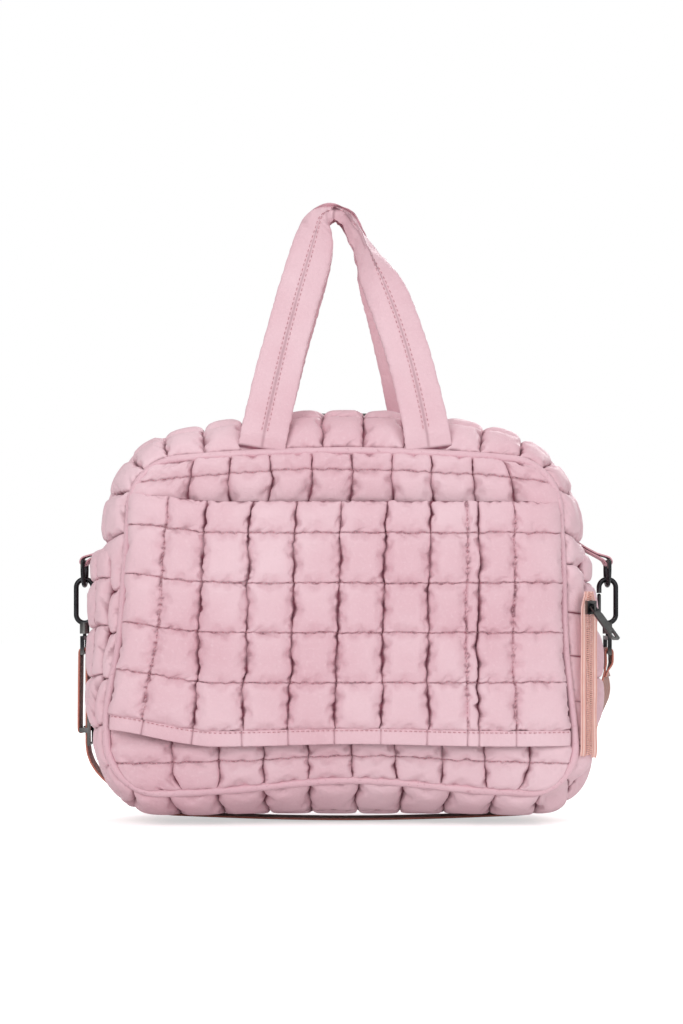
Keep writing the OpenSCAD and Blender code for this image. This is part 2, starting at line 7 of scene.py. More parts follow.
import bmesh
import bpy
import mathutils
import numpy as np
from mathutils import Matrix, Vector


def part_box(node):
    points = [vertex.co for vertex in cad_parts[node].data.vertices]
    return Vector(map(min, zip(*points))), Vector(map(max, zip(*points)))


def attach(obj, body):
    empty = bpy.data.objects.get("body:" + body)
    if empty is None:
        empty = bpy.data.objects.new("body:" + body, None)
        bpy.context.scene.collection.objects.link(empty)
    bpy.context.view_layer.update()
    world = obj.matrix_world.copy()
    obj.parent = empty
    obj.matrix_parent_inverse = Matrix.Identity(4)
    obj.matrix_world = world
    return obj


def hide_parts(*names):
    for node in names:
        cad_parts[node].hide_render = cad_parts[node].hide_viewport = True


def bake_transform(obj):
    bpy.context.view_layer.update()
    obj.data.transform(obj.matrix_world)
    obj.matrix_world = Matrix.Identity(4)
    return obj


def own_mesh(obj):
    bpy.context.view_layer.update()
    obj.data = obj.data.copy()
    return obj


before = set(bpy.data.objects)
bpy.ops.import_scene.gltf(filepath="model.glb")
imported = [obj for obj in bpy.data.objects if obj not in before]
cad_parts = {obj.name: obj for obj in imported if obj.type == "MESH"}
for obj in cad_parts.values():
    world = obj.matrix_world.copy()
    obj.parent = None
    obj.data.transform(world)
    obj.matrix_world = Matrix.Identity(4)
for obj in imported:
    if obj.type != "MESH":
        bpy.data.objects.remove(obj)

for name in ("Cube", "Light", "Camera"):
    if name in bpy.data.objects:
        bpy.data.objects.remove(bpy.data.objects[name])
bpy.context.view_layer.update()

MM = 0.001

# ---------------------------------------------------------------- driving sizes, from the CAD frame


def box_mm(node):
    low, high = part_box(node)
    return np.array(low) / MM, np.array(high) / MM


BODY_HALF_W = box_mm("lower_gusset")[1][0]
BODY_H = box_mm("top_gusset_front")[1][2]
CORD_R = 3.2
SEAM_Y = box_mm("rear_piping")[0][1] + CORD_R
SLEEVE_BOTTOM_Z = box_mm("front_sleeve")[0][2]
SLEEVE_TOP_Z = box_mm("front_sleeve")[1][2]
PANEL_TOP_HALF, PANEL_BOTTOM_HALF = 173.0, 186.0
PANEL_TOP_Z, PANEL_BOTTOM_Z = 296.0, 20.0
PANEL_TOP_R, PANEL_BOTTOM_R, PANEL_CROWN_R = 42, 38, 1400
BODY_TOP_R, BODY_BOTTOM_R, CROWN_R = 75, 56, 560.0
FLAT_Y = 26.0
SLEEVE_HALF = 112.0
HOOK_X = (box_mm("right_d_ring")[0][0] + box_mm("right_d_ring")[1][0]) / 2

# ---------------------------------------------------------------- numbers: noise and easing


def smooth(x):
    """Eases from 0 to 1."""
    x = np.clip(x, 0, 1)
    return x * x * (3 - 2 * x)


def noise(x, y, seed):
    """Smooth value noise from -1 to 1; one lattice cell per unit."""
    table = np.random.default_rng(seed).uniform(-1, 1, (64, 64))
    x, y = np.broadcast_arrays(np.asarray(x, float), np.asarray(y, float))
    i, j = np.floor(x).astype(int), np.floor(y).astype(int)
    u, v = smooth(x - i), smooth(y - j)
    a, b = table[i % 64, j % 64], table[(i + 1) % 64, j % 64]
    c, d = table[i % 64, (j + 1) % 64], table[(i + 1) % 64, (j + 1) % 64]
    return (a * (1 - u) + b * u) * (1 - v) + (c * (1 - u) + d * u) * v


# ---------------------------------------------------------------- the body's outlines, in (x, z)


class Outline:
    """A rounded, crowned outline, anticlockwise as seen from the front, from the middle of the base (w 0)
    over the right side to the middle of the top (w 5) and back down the left side (w 10)."""

    def __init__(self, halves, heights, corners, crown_r):
        """halves, heights and corners are (upper, lower): half widths, z of the edges, corner radii."""
        top_half, bottom_half = halves
        top, bottom = heights
        top_r, bottom_r = corners
        self.low = np.array([bottom_half - bottom_r, bottom + bottom_r])
        self.low_r, self.high_r, self.crown_r, self.top = bottom_r, top_r, crown_r, top
        rise = math.sqrt((crown_r - top_r) ** 2 - (top_half - top_r) ** 2)
        self.high = np.array([top_half - top_r, top - crown_r + rise])
        d = self.high - self.low
        self.side = math.atan2(d[1], d[0]) - math.acos((bottom_r - top_r) / np.hypot(*d))
        self.crown = math.atan2(self.high[1] - (top - crown_r), self.high[0])

    @staticmethod
    def circle(centre, r, angle):
        return centre[0] + r * np.cos(angle), centre[1] + r * np.sin(angle)

    def at(self, w):
        w = np.asarray(w, float) % 10
        v = np.where(w > 5, 10 - w, w)
        t = v - np.clip(np.floor(v), 0, 4)
        pieces = []
        pieces.append((self.low[0] * t, np.full_like(t, self.low[1] - self.low_r)))
        pieces.append(self.circle(self.low, self.low_r, -np.pi / 2 + (self.side + np.pi / 2) * t))
        a = self.circle(self.low, self.low_r, self.side)
        b = self.circle(self.high, self.high_r, self.side)
        pieces.append((a[0] + (b[0] - a[0]) * t, a[1] + (b[1] - a[1]) * t))
        pieces.append(self.circle(self.high, self.high_r, self.side + (self.crown - self.side) * t))
        middle = (0, self.top - self.crown_r)
        pieces.append(self.circle(middle, self.crown_r, self.crown + (np.pi / 2 - self.crown) * t))
        k = np.clip(np.floor(v), 0, 4).astype(int)
        x = np.choose(k, [p[0] for p in pieces])
        z = np.choose(k, [p[1] for p in pieces])
        return np.where(w > 5, -x, x), z


PANEL = Outline((PANEL_TOP_HALF, PANEL_BOTTOM_HALF), (PANEL_TOP_Z, PANEL_BOTTOM_Z),
                (PANEL_TOP_R, PANEL_BOTTOM_R), PANEL_CROWN_R)
CROWN = Outline((BODY_HALF_W, BODY_HALF_W), (BODY_H, 0), (BODY_TOP_R, BODY_BOTTOM_R), CROWN_R)


def lengths(outline, count=4000):
    """Outline parameters all the way round, and how far along the outline each one is."""
    w = np.linspace(0, 10, count)
    x, z = outline.at(w)
    run = np.concatenate([[0], np.cumsum(np.hypot(np.diff(x), np.diff(z)))])
    return w, run


CROWN_W, CROWN_RUN = lengths(CROWN)
HEM_LIFT = 11
SIDE_SHIFT, RIGHT_PINCH, LEFT_FLARE = 1.2, 2.8, 7


def sag(x, y, z):
    """The worn shape: the front's lower edge lifts in the middle, its right side pinches in a little and
    its left side flares out low down."""
    front = smooth((-y - 20) / 55)
    lift = HEM_LIFT * np.exp(-(((x - 6) / 88) ** 2)) * np.clip((95 - z) / 75, 0, 1) ** 1.5
    shift = -SIDE_SHIFT - RIGHT_PINCH * np.exp(-(((z - 140) / 50) ** 2)) * smooth((x - 60) / 90)
    shift = shift - LEFT_FLARE * np.exp(-(((z - 82) / 44) ** 2)) * smooth((-x - 80) / 90)
    return x + front * shift, y, z + front * lift


def fullness(y):
    """How far the body has swelled out from the panels' outline to the crown's at depth y, from 0 to 1."""
    return np.where(np.abs(y) <= FLAT_Y, 1.0, 1 - ((np.abs(y) - FLAT_Y) / (SEAM_Y - FLAT_Y)) ** 2)


def body_point(w, y):
    """Point of the body's skin at outline parameter w and depth y."""
    px, pz = PANEL.at(w)
    cx, cz = CROWN.at(w)
    t = fullness(y)
    return px + (cx - px) * t, y + 0 * w, pz + (cz - pz) * t


TOP_INSET = 5.5
SLUMP_RIGHT, SLUMP_LEFT = 11.0, 3.5


def cloth_point(w, y, right):
    """A point of the worn skin: as body_point, but the upper corners slump in, more so on the right."""
    x, y, z = body_point(w, y)
    v = np.where(w > 5, 10 - w, w)
    corner, middle = smooth(v - 2.3), smooth((v - 3.6) / 0.6)
    deep = np.where(right, SLUMP_RIGHT, SLUMP_LEFT)
    slump = corner * (deep + (TOP_INSET - deep) * middle) * fullness(y)
    ahead, behind = CROWN.at(w + 0.01), CROWN.at(w - 0.01)
    dx, dz = ahead[0] - behind[0], ahead[1] - behind[1]
    size = np.maximum(np.hypot(dx, dz), 1e-9)
    return x - slump * dz / size, y, z + slump * dx / size


def panel_half(z, rounded=True):
    """Half width of the panel outline at height z."""
    z = np.asarray(z, float)
    low, high = PANEL_BOTTOM_Z + PANEL_BOTTOM_R, PANEL_TOP_Z - PANEL_TOP_R
    flat = PANEL_BOTTOM_HALF + (PANEL_TOP_HALF - PANEL_BOTTOM_HALF) * (z - low) / (high - low)
    if not rounded:
        return flat
    up = PANEL.high[0] + np.sqrt(np.clip(PANEL_TOP_R**2 - (z - PANEL.high[1]) ** 2, 0, None))
    down = PANEL.low[0] + np.sqrt(np.clip(PANEL_BOTTOM_R**2 - (z - PANEL.low[1]) ** 2, 0, None))
    return np.where(z > PANEL.high[1], up, np.where(z < PANEL.low[1], down, flat))


# ---------------------------------------------------------------- meshes


def new_mesh(name, verts, faces, uv=None, values=None, closed=True):
    """verts in mm; faces all quads; uv per vertex in mm; values maps a name to one float per vertex."""
    mesh = bpy.data.meshes.new(name)
    verts = np.asarray(verts, float) * MM
    faces = np.asarray(faces, np.int32)
    a, b, c, d = (verts[faces[:, k]] for k in range(4))
    if closed and np.sum(a * np.cross(b - a, c - a) + a * np.cross(c - a, d - a)) < 0:
        faces = faces[:, ::-1].copy()
    mesh.vertices.add(len(verts))
    mesh.vertices.foreach_set("co", verts.astype(np.float32).ravel())
    size = faces.shape[1]
    mesh.loops.add(faces.size)
    mesh.loops.foreach_set("vertex_index", faces.ravel())
    mesh.polygons.add(len(faces))
    mesh.polygons.foreach_set("loop_start", np.arange(0, faces.size, size, dtype=np.int32))
    mesh.polygons.foreach_set("use_smooth", np.ones(len(faces), bool))
    if uv is not None:
        layer = mesh.uv_layers.new(name="cloth")
        layer.data.foreach_set("uv", (np.asarray(uv)[faces.ravel()] * MM).astype(np.float32).ravel())
    for key, value in (values or {}).items():
        attribute = mesh.attributes.new(key, "FLOAT", "POINT")
        attribute.data.foreach_set("value", np.asarray(value, np.float32).ravel())
    mesh.update()
    mesh.validate()
    piece = bpy.data.objects.new(name, mesh)
    bpy.context.scene.collection.objects.link(piece)
    return piece


def grid_faces(nu, nv, loop_u=False, loop_v=False):
    """Quads of an nu by nv grid of points; a looped axis also joins its last line to its first."""
    i = np.arange(nu if loop_u else nu - 1)[:, None]
    j = np.arange(nv if loop_v else nv - 1)[None, :]
    i2, j2 = (i + 1) % nu, (j + 1) % nv
    return np.stack([i * nv + j, i2 * nv + j, i2 * nv + j2, i * nv + j2], -1).reshape(-1, 4)


def normals_of(P):
    """Unit normals of a grid of points."""
    du = np.gradient(P, axis=0)
    dv = np.gradient(P, axis=1)
    n = np.cross(du, dv)
    return n / np.maximum(np.linalg.norm(n, axis=2, keepdims=True), 1e-9)


def shell(name, P, back, uv=None, values=None):
    """A closed piece between a front grid P and a back grid of the same size."""
    nu, nv = P.shape[:2]
    count = nu * nv
    front = grid_faces(nu, nv)
    rear = front[:, ::-1] + count
    rims = []
    i, j = np.arange(nu - 1), np.arange(nv - 1)
    for column, turn in ((0, 1), (nv - 1, -1)):
        a = i * nv + column
        rims.append(np.stack([a + nv, a, a + count, a + nv + count], -1)[:, ::turn])
    for row, turn in ((0, -1), (nu - 1, 1)):
        a = row * nv + j
        rims.append(np.stack([a + 1, a, a + count, a + 1 + count], -1)[:, ::turn])
    faces = np.concatenate([front, rear] + rims)
    both = np.concatenate([P.reshape(-1, 3), back.reshape(-1, 3)])
    uv2 = None if uv is None else np.concatenate([uv.reshape(-1, 2)] * 2)
    values2 = {key: np.concatenate([value.ravel()] * 2) for key, value in (values or {}).items()}
    return new_mesh(name, both, faces, uv2, values2)


# ---------------------------------------------------------------- quilted cloth


SEAM_SWAY = 1.6
PUCKER, ROW_PUCKER = 0.5, 0.75
CLOTH = {
    "vertex_group_mass": "pin", "quality": 4, "mass": 0.25, "bending_stiffness": 0.15,
    "tension_stiffness": 12, "compression_stiffness": 12, "shear_stiffness": 4,
    "shrink_min": -0.07, "shrink_max": -0.07, "use_pressure": True, "uniform_pressure_force": 6,
}
SIM_FRAMES = 14
SIM_SCALE = 0.01
MOST_PUFF = 3.2


def spread(n):
    """n + 1 shares from 0 to 1, closer together near both ends."""
    even = np.linspace(0, 1, n + 1)
    return 0.45 * even + 0.55 * (0.5 - 0.5 * np.cos(np.pi * even))


class Quilt:
    """A quilted sheet: a grid whose lines follow its stitched seams.

    cols and rows hold (place at the low end, place at the high end, depth) for each seam,
    where depth is 0 for an unsewn line and 1 for a seam pulled fully in."""

    def __init__(self, name, cols, rows, place, puff, seed, step, press=None, floor=False):
        self.name, self.place, self.puff, self.seed = name, place, puff, seed
        self.press = press or (lambda s, t: 1 + 0 * s)
        self.floor = floor
        self.cols, self.rows = np.array(cols, float), np.array(rows, float)
        self.u_edge, self.p, self.u_seg = self.axis(self.cols, step)
        self.v_edge, self.q, self.v_seg = self.axis(self.rows, step)
        self.lay()

    @staticmethod
    def axis(lines, step):
        """Grid lines every step mm or so: the first line at each seam, each line's share of its segment and
        that segment's number."""
        shares, segs, edges = [], [], [0]
        for k in range(len(lines) - 1):
            n = max(3, int(round(abs(lines[k + 1, 0] - lines[k, 0]) / step)))
            part = spread(n)
            shares.append(part[: -1 if k < len(lines) - 2 else None])
            segs.append(np.full(len(shares[-1]), k))
            edges.append(edges[-1] + n)
        return np.array(edges), np.concatenate(shares), np.concatenate(segs)

    @staticmethod
    def across(lines, seg, share, along, span, seed):
        """Places along one axis for grid lines at share of segment seg, at places along the other axis."""
        t = (along - span[0]) / (span[1] - span[0])
        line = lines[:, 0][:, None] + (lines[:, 1] - lines[:, 0])[:, None] * t[None, :]
        inner = np.ones(len(lines))
        inner[[0, -1]] = 0
        number = np.arange(len(lines))[:, None]
        wave = noise(along / 17, number * 3.7, seed) + 0.5 * noise(along / 7, number * 5.1, seed + 1)
        line = line + SEAM_SWAY * wave * (inner * lines[:, 2])[:, None]
        return line[seg] * (1 - share)[:, None] + line[np.minimum(seg + 1, len(lines) - 1)] * share[:, None]

    def lay(self):
        """Puts the sheet in its place, puffed by formula; the simulation starts from there."""
        rows, cols = self.rows, self.cols
        s_mid = cols[self.u_seg, 0] * (1 - self.p) + cols[self.u_seg + 1, 0] * self.p
        t_mid = rows[self.v_seg, 0] * (1 - self.q) + rows[self.v_seg + 1, 0] * self.q
        s = self.across(cols, self.u_seg, self.p, t_mid, (rows[0, 0], rows[-1, 0]), self.seed)
        t = self.across(rows, self.v_seg, self.q, s_mid, (cols[0, 0], cols[-1, 0]), self.seed + 9)
        self.S, self.T = s, t.T
        u_depths = cols[self.u_seg, 2][:, None], cols[self.u_seg + 1, 2][:, None]
        v_depths = rows[self.v_seg, 2][None, :], rows[self.v_seg + 1, 2][None, :]
        across, up = self.dome(self.p[:, None], u_depths, 5.5), self.dome(self.q[None, :], v_depths, 3.5)
        high = self.puff * across * up
        high *= 1 + 0.12 * noise(self.S / 29, self.T / 31, self.seed + 3)
        self.share = self.press(self.S, self.T)
        base, out = self.base(self.S, self.T)
        self.P = base + out * (high * self.share)[..., None]

    @staticmethod
    def dome(x, ends, power):
        """1 in the middle of a channel, falling to 1 - depth at each end."""
        depth = np.where(x < 0.5, ends[0], ends[1])
        return 1 - depth * (1 - np.sqrt(np.clip(1 - np.abs(2 * x - 1) ** power, 0, 1)))

    def base(self, s, t):
        """Where the flat cloth lies, and which way is out."""
        e = 0.5
        a = np.stack(self.place(s, t), -1)
        du = np.stack(self.place(s + e, t), -1) - np.stack(self.place(s - e, t), -1)
        dv = np.stack(self.place(s, t + e), -1) - np.stack(self.place(s, t - e), -1)
        n = np.cross(du, dv)
        centre = np.array([0, 0, BODY_H / 2])
        self.flip = bool(np.sum(n * (a - centre)) < 0)
        if self.flip:
            n = -n
        return a, n / np.maximum(np.linalg.norm(n, axis=-1, keepdims=True), 1e-9)

    def pins(self):
        """1 where the sheet is sewn down, at its sewn seams and its rim."""
        hold = np.zeros(self.P.shape[:2])
        hold[self.u_edge] = np.maximum(hold[self.u_edge], (self.cols[:, 2] > 0)[:, None])
        hold[:, self.v_edge] = np.maximum(hold[:, self.v_edge], (self.rows[:, 2] > 0)[None, :])
        hold[[0, -1]] = 1
        hold[:, [0, -1]] = 1
        return hold


def cloth_modifier(piece):
    """CLOTH's settings on a piece, without gravity or collisions."""
    cloth = piece.modifiers.new("cloth", "CLOTH")
    for key, value in CLOTH.items():
        setattr(cloth.settings, key, value)
    cloth.settings.effector_weights.gravity = 0
    cloth.collision_settings.use_collision = False
    cloth.point_cache.frame_start = 1
    cloth.point_cache.frame_end = SIM_FRAMES


def simulate(quilts):
    """Blows the padding up: one cloth simulation of every sheet, held at its seams. SIM_SCALE turns mm
    into simulation units, and no point moves by more than MOST_PUFF mm."""
    verts = np.concatenate([q.P.reshape(-1, 3) for q in quilts]) * SIM_SCALE / MM
    faces, first = [], 0
    for q in quilts:
        sheet = grid_faces(*q.P.shape[:2])
        faces.append((sheet[:, ::-1] if q.flip else sheet) + first)
        first += q.P.shape[0] * q.P.shape[1]
    piece = new_mesh("cloth_sim", verts, np.concatenate(faces), closed=False)
    group = piece.vertex_groups.new(name="pin")
    hold = np.concatenate([q.pins().ravel() for q in quilts])
    group.add(np.flatnonzero(hold > 0.5).tolist(), 1.0, "REPLACE")
    cloth_modifier(piece)
    scene = bpy.context.scene
    for frame_number in range(1, SIM_FRAMES + 1):
        scene.frame_set(frame_number)
    solved = piece.evaluated_get(bpy.context.evaluated_depsgraph_get())
    out = np.empty(len(verts) * 3, np.float32)
    solved.data.vertices.foreach_get("co", out)
    out = out.reshape(-1, 3) / SIM_SCALE
    first = 0
    for q in quilts:
        count = q.P.shape[0] * q.P.shape[1]
        moved = out[first:first + count].reshape(q.P.shape).astype(float)
        step = moved - q.P
        size = np.linalg.norm(step, axis=2, keepdims=True)
        q.P = q.P + step * np.minimum(1, MOST_PUFF / np.maximum(size, 1e-9)) * q.share[..., None]
        first += count
    bpy.data.objects.remove(piece)
    scene.frame_set(1)


def refine(a, edges, axis):
    """Doubles a grid along one axis with a smooth curve through its points, broken at every seam."""
    a = np.moveaxis(a, axis, 0)
    parts = []
    for first, last in zip(edges[:-1], edges[1:]):
        part = a[first:last + 1]
        before, after = 2 * part[:1] - part[1:2], 2 * part[-1:] - part[-2:-1]
        wide = np.concatenate([before, part, after])
        middle = (9 * (wide[1:-2] + wide[2:-1]) - wide[:-3] - wide[3:]) / 16
        fine = np.empty((2 * len(part) - 1,) + part.shape[1:])
        fine[0::2], fine[1::2] = part, middle
        parts.append(fine[:-1] if last != edges[-1] else fine)
    return np.moveaxis(np.concatenate(parts), 0, axis)


def nearest_seam(places, lines, edges):
    """For places in segments along axis 0: distance to the nearest seam, its depth, number and side."""
    seg = np.zeros(len(places), int)
    for k in range(len(edges) - 1):
        seg[2 * edges[k]:2 * edges[k + 1] + 1] = k
    low, high = places[2 * edges[seg]], places[2 * edges[seg + 1]]
    to_low, to_high = np.abs(places - low), np.abs(high - places)
    pick = to_low < to_high
    near = np.where(pick, seg[:, None], seg[:, None] + 1)
    return np.where(pick, to_low, to_high), lines[near, 2], near, pick


def cell_share(places, edges):
    """How far each place lies through its cell along axis 0, from 0 at the low seam to 1 at the high one."""
    share = np.zeros_like(places)
    for k in range(len(edges) - 1):
        part = slice(2 * edges[k], 2 * edges[k + 1] + 1)
        low, high = places[2 * edges[k]], places[2 * edges[k + 1]]
        share[part] = (places[part] - low) / (high - low)
    return share


def finish_quilt(q):
    """Doubles a simulated sheet and adds the fine gathers along its stitched seams.

    Returns points, flat coordinates and how dark each point is painted, from 0 on open cloth to 1 deep in a
    seam's groove: painted shade in the grooves and folds, with some real thread colour at the dotted seams.
    Names with u belong to the columns' seams and names with v to the rows'."""
    P, S, T = (refine(refine(a, q.u_edge, 0), q.v_edge, 1) for a in (q.P, q.S[..., None], q.T[..., None]))
    S, T = S[..., 0], T[..., 0]
    du, depth_u, near_u, low_u = nearest_seam(S, q.cols, q.u_edge)
    dv, depth_v, near_v, low_v = [x.T for x in nearest_seam(T.T, q.rows, q.v_edge)]
    up = cell_share(T.T, q.v_edge).T
    n = normals_of(P) * (-1 if q.flip else 1)
    seed = q.seed * 13
    tight = 0.62 + 0.3 * np.exp(-(((up - 0.42) / 0.3) ** 2)) + 0.4 * noise(T / 9, near_u * 3.0, seed + 6)
    tight = np.clip(tight, 0.15, 1.2)
    gather = noise(T / 2.2, near_u * 7 + low_u * 3, seed) * np.exp(-du / 2.6)
    gather += 0.8 * noise(T / 4.6 + du / 9, near_u * 7 + low_u * 3, seed + 8) * np.exp(-du / 6.0)
    rows = noise(S / 2.4 + 0.3 * dv, near_v * 5 + low_v * 3, seed + 1) * np.exp(-dv / 2.4)
    slant = noise(S / 4.2 - 0.42 * dv, near_v * 5 + low_v * 9, seed + 2) * np.exp(-dv / 6.5)
    patch = 0.35 + 0.65 * smooth(0.5 + noise(S / 21, T / 30, seed + 9))
    wrinkle = PUCKER * gather * depth_u * (du > 0.2) * (0.4 + 0.6 * tight)
    row_depth = np.minimum(depth_v * 2, 1)
    sewn_row = row_depth * (dv > 0.2)
    wrinkle += ROW_PUCKER * (rows + 1.3 * slant * patch) * sewn_row
    soft = 0.35 * noise(S / 13, T / 11, seed + 3) + 0.12 * noise(S / 5, T / 6, seed + 4)
    P = P + n * (wrinkle + soft * smooth(np.minimum(du, dv) / 6))[..., None]
    side = unit(np.gradient(P, axis=0))
    jag = noise(T / 2.9, near_u * 4.0, seed + 5) + 0.9 * noise(T / 7.5, near_u * 4.0, seed + 10)
    P = P + side * (0.6 * jag * np.exp(-du / 3.5) * depth_u)[..., None]
    climb = unit(np.gradient(P, axis=1))
    zigzag = noise(S / 2.6, near_v * 4.0, seed + 11) + 0.8 * noise(S / 6.5, near_v * 4.0, seed + 12)
    P = P + climb * (1.1 * zigzag * np.exp(-dv / 3.0) * smooth(du / 3) * row_depth)[..., None]
    # Painted shade: the colour darkens in the column seams' grooves, along the row seams and in the gathers'
    # folds; the ladder of marks at the shallow dotted seams stands for their reddish stitches.
    width = 0.5 + 0.45 * tight
    dark = np.clip(0.3 + 0.75 * tight, 0, 1) * depth_u**3 * np.exp(-((du / width) ** 2))
    ladder = np.clip(0.3 + 0.9 * noise(T / 1.5, near_u * 5 + du / 1.1, seed + 13), 0, 0.75)
    dark = np.maximum(dark, ladder * np.exp(-((du / 1.7) ** 2)) * (depth_u > 0.4) * (depth_u < 0.7))
    line = (0.85 + 0.3 * noise(S / 3.5, near_v * 3.0, seed + 7)) * row_depth
    line = line * np.exp(-((dv / 0.95) ** 2))
    fold = np.clip(-slant * patch - 0.18, 0, 1) * 0.9 * sewn_row
    fold = fold + np.clip(-gather - 0.3, 0, 1) * 0.5 * depth_u
    return P, S, T, np.clip(np.maximum(dark, np.maximum(line, fold)), 0, 1)


def rest_on_base(z):
    """Flattens whatever would hang below the base plane."""
    soft = 1.6
    return soft * np.logaddexp(0, z / soft)


def sagged(P):
    """Points of any array shape, moved by the worn shape's sag."""
    return np.stack(sag(P[..., 0], P[..., 1], P[..., 2]), -1)


def quilt_piece(q, back):
    """The closed piece of a quilted sheet; back is how far behind the flat cloth its lining side lies."""
    P, S, T, crease = finish_quilt(q)
    base, out = q.base(S, T)
    P, rear = sagged(P), sagged(base - out * back)
    if q.floor:
        P[..., 2] = rest_on_base(P[..., 2])
    q.skin = P
    q.skin_out = normals_of(P) * (-1 if q.flip else 1)
    return shell(q.name, P, rear, np.stack([S, T], -1), {"crease": crease})


# ---------------------------------------------------------------- where each sheet lies


def evenly(low, high, low_gap, high_gap, first, last, depth=1.0):
    """Seams number first to last, spaced evenly round a middle one, by their two ends' places and gaps."""
    return [(low + low_gap * k, high + high_gap * k, depth) for k in range(first, last + 1)]


def edge_squeeze(x, z, inner):
    """Moves a point near a panel's side so that the sheet's edge follows the rounded outline."""
    nominal, real = panel_half(z, rounded=False), panel_half(z)
    out = np.clip((np.abs(x) - inner) / (nominal - inner), 0, None)
    return np.where(np.abs(x) > inner, np.sign(x) * (inner + out * (real - inner)), x)


def panel_top(x):
    """How far the panel's crowned top edge has dropped at x."""
    return x**2 / 2800


PANEL_Y = SEAM_Y - 1.5
PANEL_BULGE, REAR_SHARE = 2.5, 2.2
PANEL_FIT = 0.996


def front_panel_place(x, z):
    """Inside the piping's outline, swelling out a little between its edges."""
    z = z - panel_top(x) * smooth((z - 170) / 90)
    inside = edge_squeeze(x, z, 118)
    u = np.clip(np.abs(x) / panel_half(z, rounded=False), 0, 1)
    v = np.clip((2 * z - PANEL_TOP_Z - PANEL_BOTTOM_Z) / (PANEL_TOP_Z - PANEL_BOTTOM_Z), -1, 1)
    bulge = np.sqrt(np.clip(1 - u**8, 0, 1)) * np.sqrt(np.clip(1 - v**8, 0, 1))
    return inside * PANEL_FIT, -PANEL_Y - PANEL_BULGE * bulge, z


def rear_panel_place(x, z):
    """As the front panel, on the other side and with REAR_SHARE times its bulge."""
    px, py, pz = front_panel_place(x, z)
    return px, PANEL_Y + REAR_SHARE * (-py - PANEL_Y), pz


def behind_sleeve(x, z):
    """The panel lies flat under the sleeve and puffs up above and below it."""
    covered = smooth((z - SLEEVE_BOTTOM_Z + 4) / 14) * smooth((SLEEVE_TOP_Z + 2 - z) / 10)
    return 1 - 0.85 * covered


SLEEVE_STAND, SLEEVE_OPEN = 15.5, 2.5
SLEEVE_RISE, HEM_RISE = 8, 5
SLEEVE_LIP = 3.0
SLEEVE_FIT = 0.983


def sleeve_place(x, z):
    """The sleeve stands off the front, most between its divider seams, and rises at its left end."""
    u = np.clip(np.abs(x) / panel_half(z, rounded=False), 0, 1)
    open_part = smooth((SLEEVE_HALF + 6 - np.abs(x)) / 8)
    y = -(SEAM_Y + 0.5) - SLEEVE_STAND * np.sqrt(np.clip(1 - u**5, 0, 1)) - SLEEVE_OPEN * open_part
    rise = (SLEEVE_RISE + HEM_RISE * smooth((150 - z) / 90)) * smooth((-x - 100) / 90)
    lip = SLEEVE_LIP * smooth((z - SLEEVE_TOP_Z + 10) / 10)
    return x * SLEEVE_FIT, y + lip, z + rise * smooth((z - 30) / 30)


def under_hem(x, z):
    """The sleeve is flat where its hem binding lies."""
    return 1 - 0.9 * smooth((SLEEVE_BOTTOM_Z + 14 - z) / 5)


HALF_RUN = CROWN_RUN[-1] / 2
BASE_END_RUN = np.interp(1.0, CROWN_W, CROWN_RUN)
SIDE_START_RUN = np.interp(2.0, CROWN_W, CROWN_RUN)
SEAM_RUN = np.interp(2.9, CROWN_W, CROWN_RUN)
TOP_SPAN = HALF_RUN - SEAM_RUN
ZIP_END = HALF_RUN - np.interp(4.0, CROWN_W, CROWN_RUN) + 2
ZIP_WELT = 10.5
BASE_LIFT = 3.5
FLANK_RUN = 184


def over_top(s, t):
    """The top gusset: s runs along the crown from its middle to the right, t is the depth."""
    return cloth_point(np.interp(HALF_RUN - s, CROWN_RUN, CROWN_W), t, s > 0)


def zip_welt(s, t):
    """How far the gusset stands out on the right, where the side zip's tapes are sewn to it."""
    height = smooth((s - BASE_END_RUN - 45) / 30) * smooth((SIDE_START_RUN + 150 - s) / 30)
    return ZIP_WELT * height * smooth((t + 79) / 10) * smooth((-48 - t) / 16)


def round_base(s, t):
    """The lower gusset: s is 0 at the middle of the base and grows to the right."""
    w = np.interp(np.abs(s), CROWN_RUN, CROWN_W)
    x, y, z = cloth_point(w, t, s > 0)
    turn = np.clip(w - 2, -1, 0) * np.pi / 2
    welt = zip_welt(s, t)
    x, z = x + welt * np.cos(turn), z + welt * np.sin(turn)
    return np.where(s < 0, -x, x), y, z + BASE_LIFT * smooth((1.7 - w) / 1.4)


def under_pockets(s, t):
    """The gusset is flat behind a pocket and under the side zip's chain, and pressed in where the shoulder
    strap runs round the corner."""
    run = np.abs(s)
    pocket = smooth((run - SIDE_START_RUN + 50) / 12) * smooth((SIDE_START_RUN + 152 - run) / 8)
    pocket = pocket * smooth((70 - np.abs(t)) / 8)
    strap = smooth((run - BASE_END_RUN + 30) / 30) * smooth((22 - np.abs(t)) / 8)
    chain = smooth((s - SIDE_START_RUN + 75) / 10) * smooth((SIDE_START_RUN + 132 - s) / 8)
    chain = chain * smooth((-t - 56) / 5)
    return (1 - 0.9 * pocket) * (1 - 0.75 * strap) * (1 - 0.9 * chain)


def under_strap(s, t):
    """A side pocket is flatter low down in its middle, where the shoulder strap lies on it."""
    return 1 - 0.8 * smooth((50 - s) / 40) * smooth((22 - np.abs(t)) / 8)


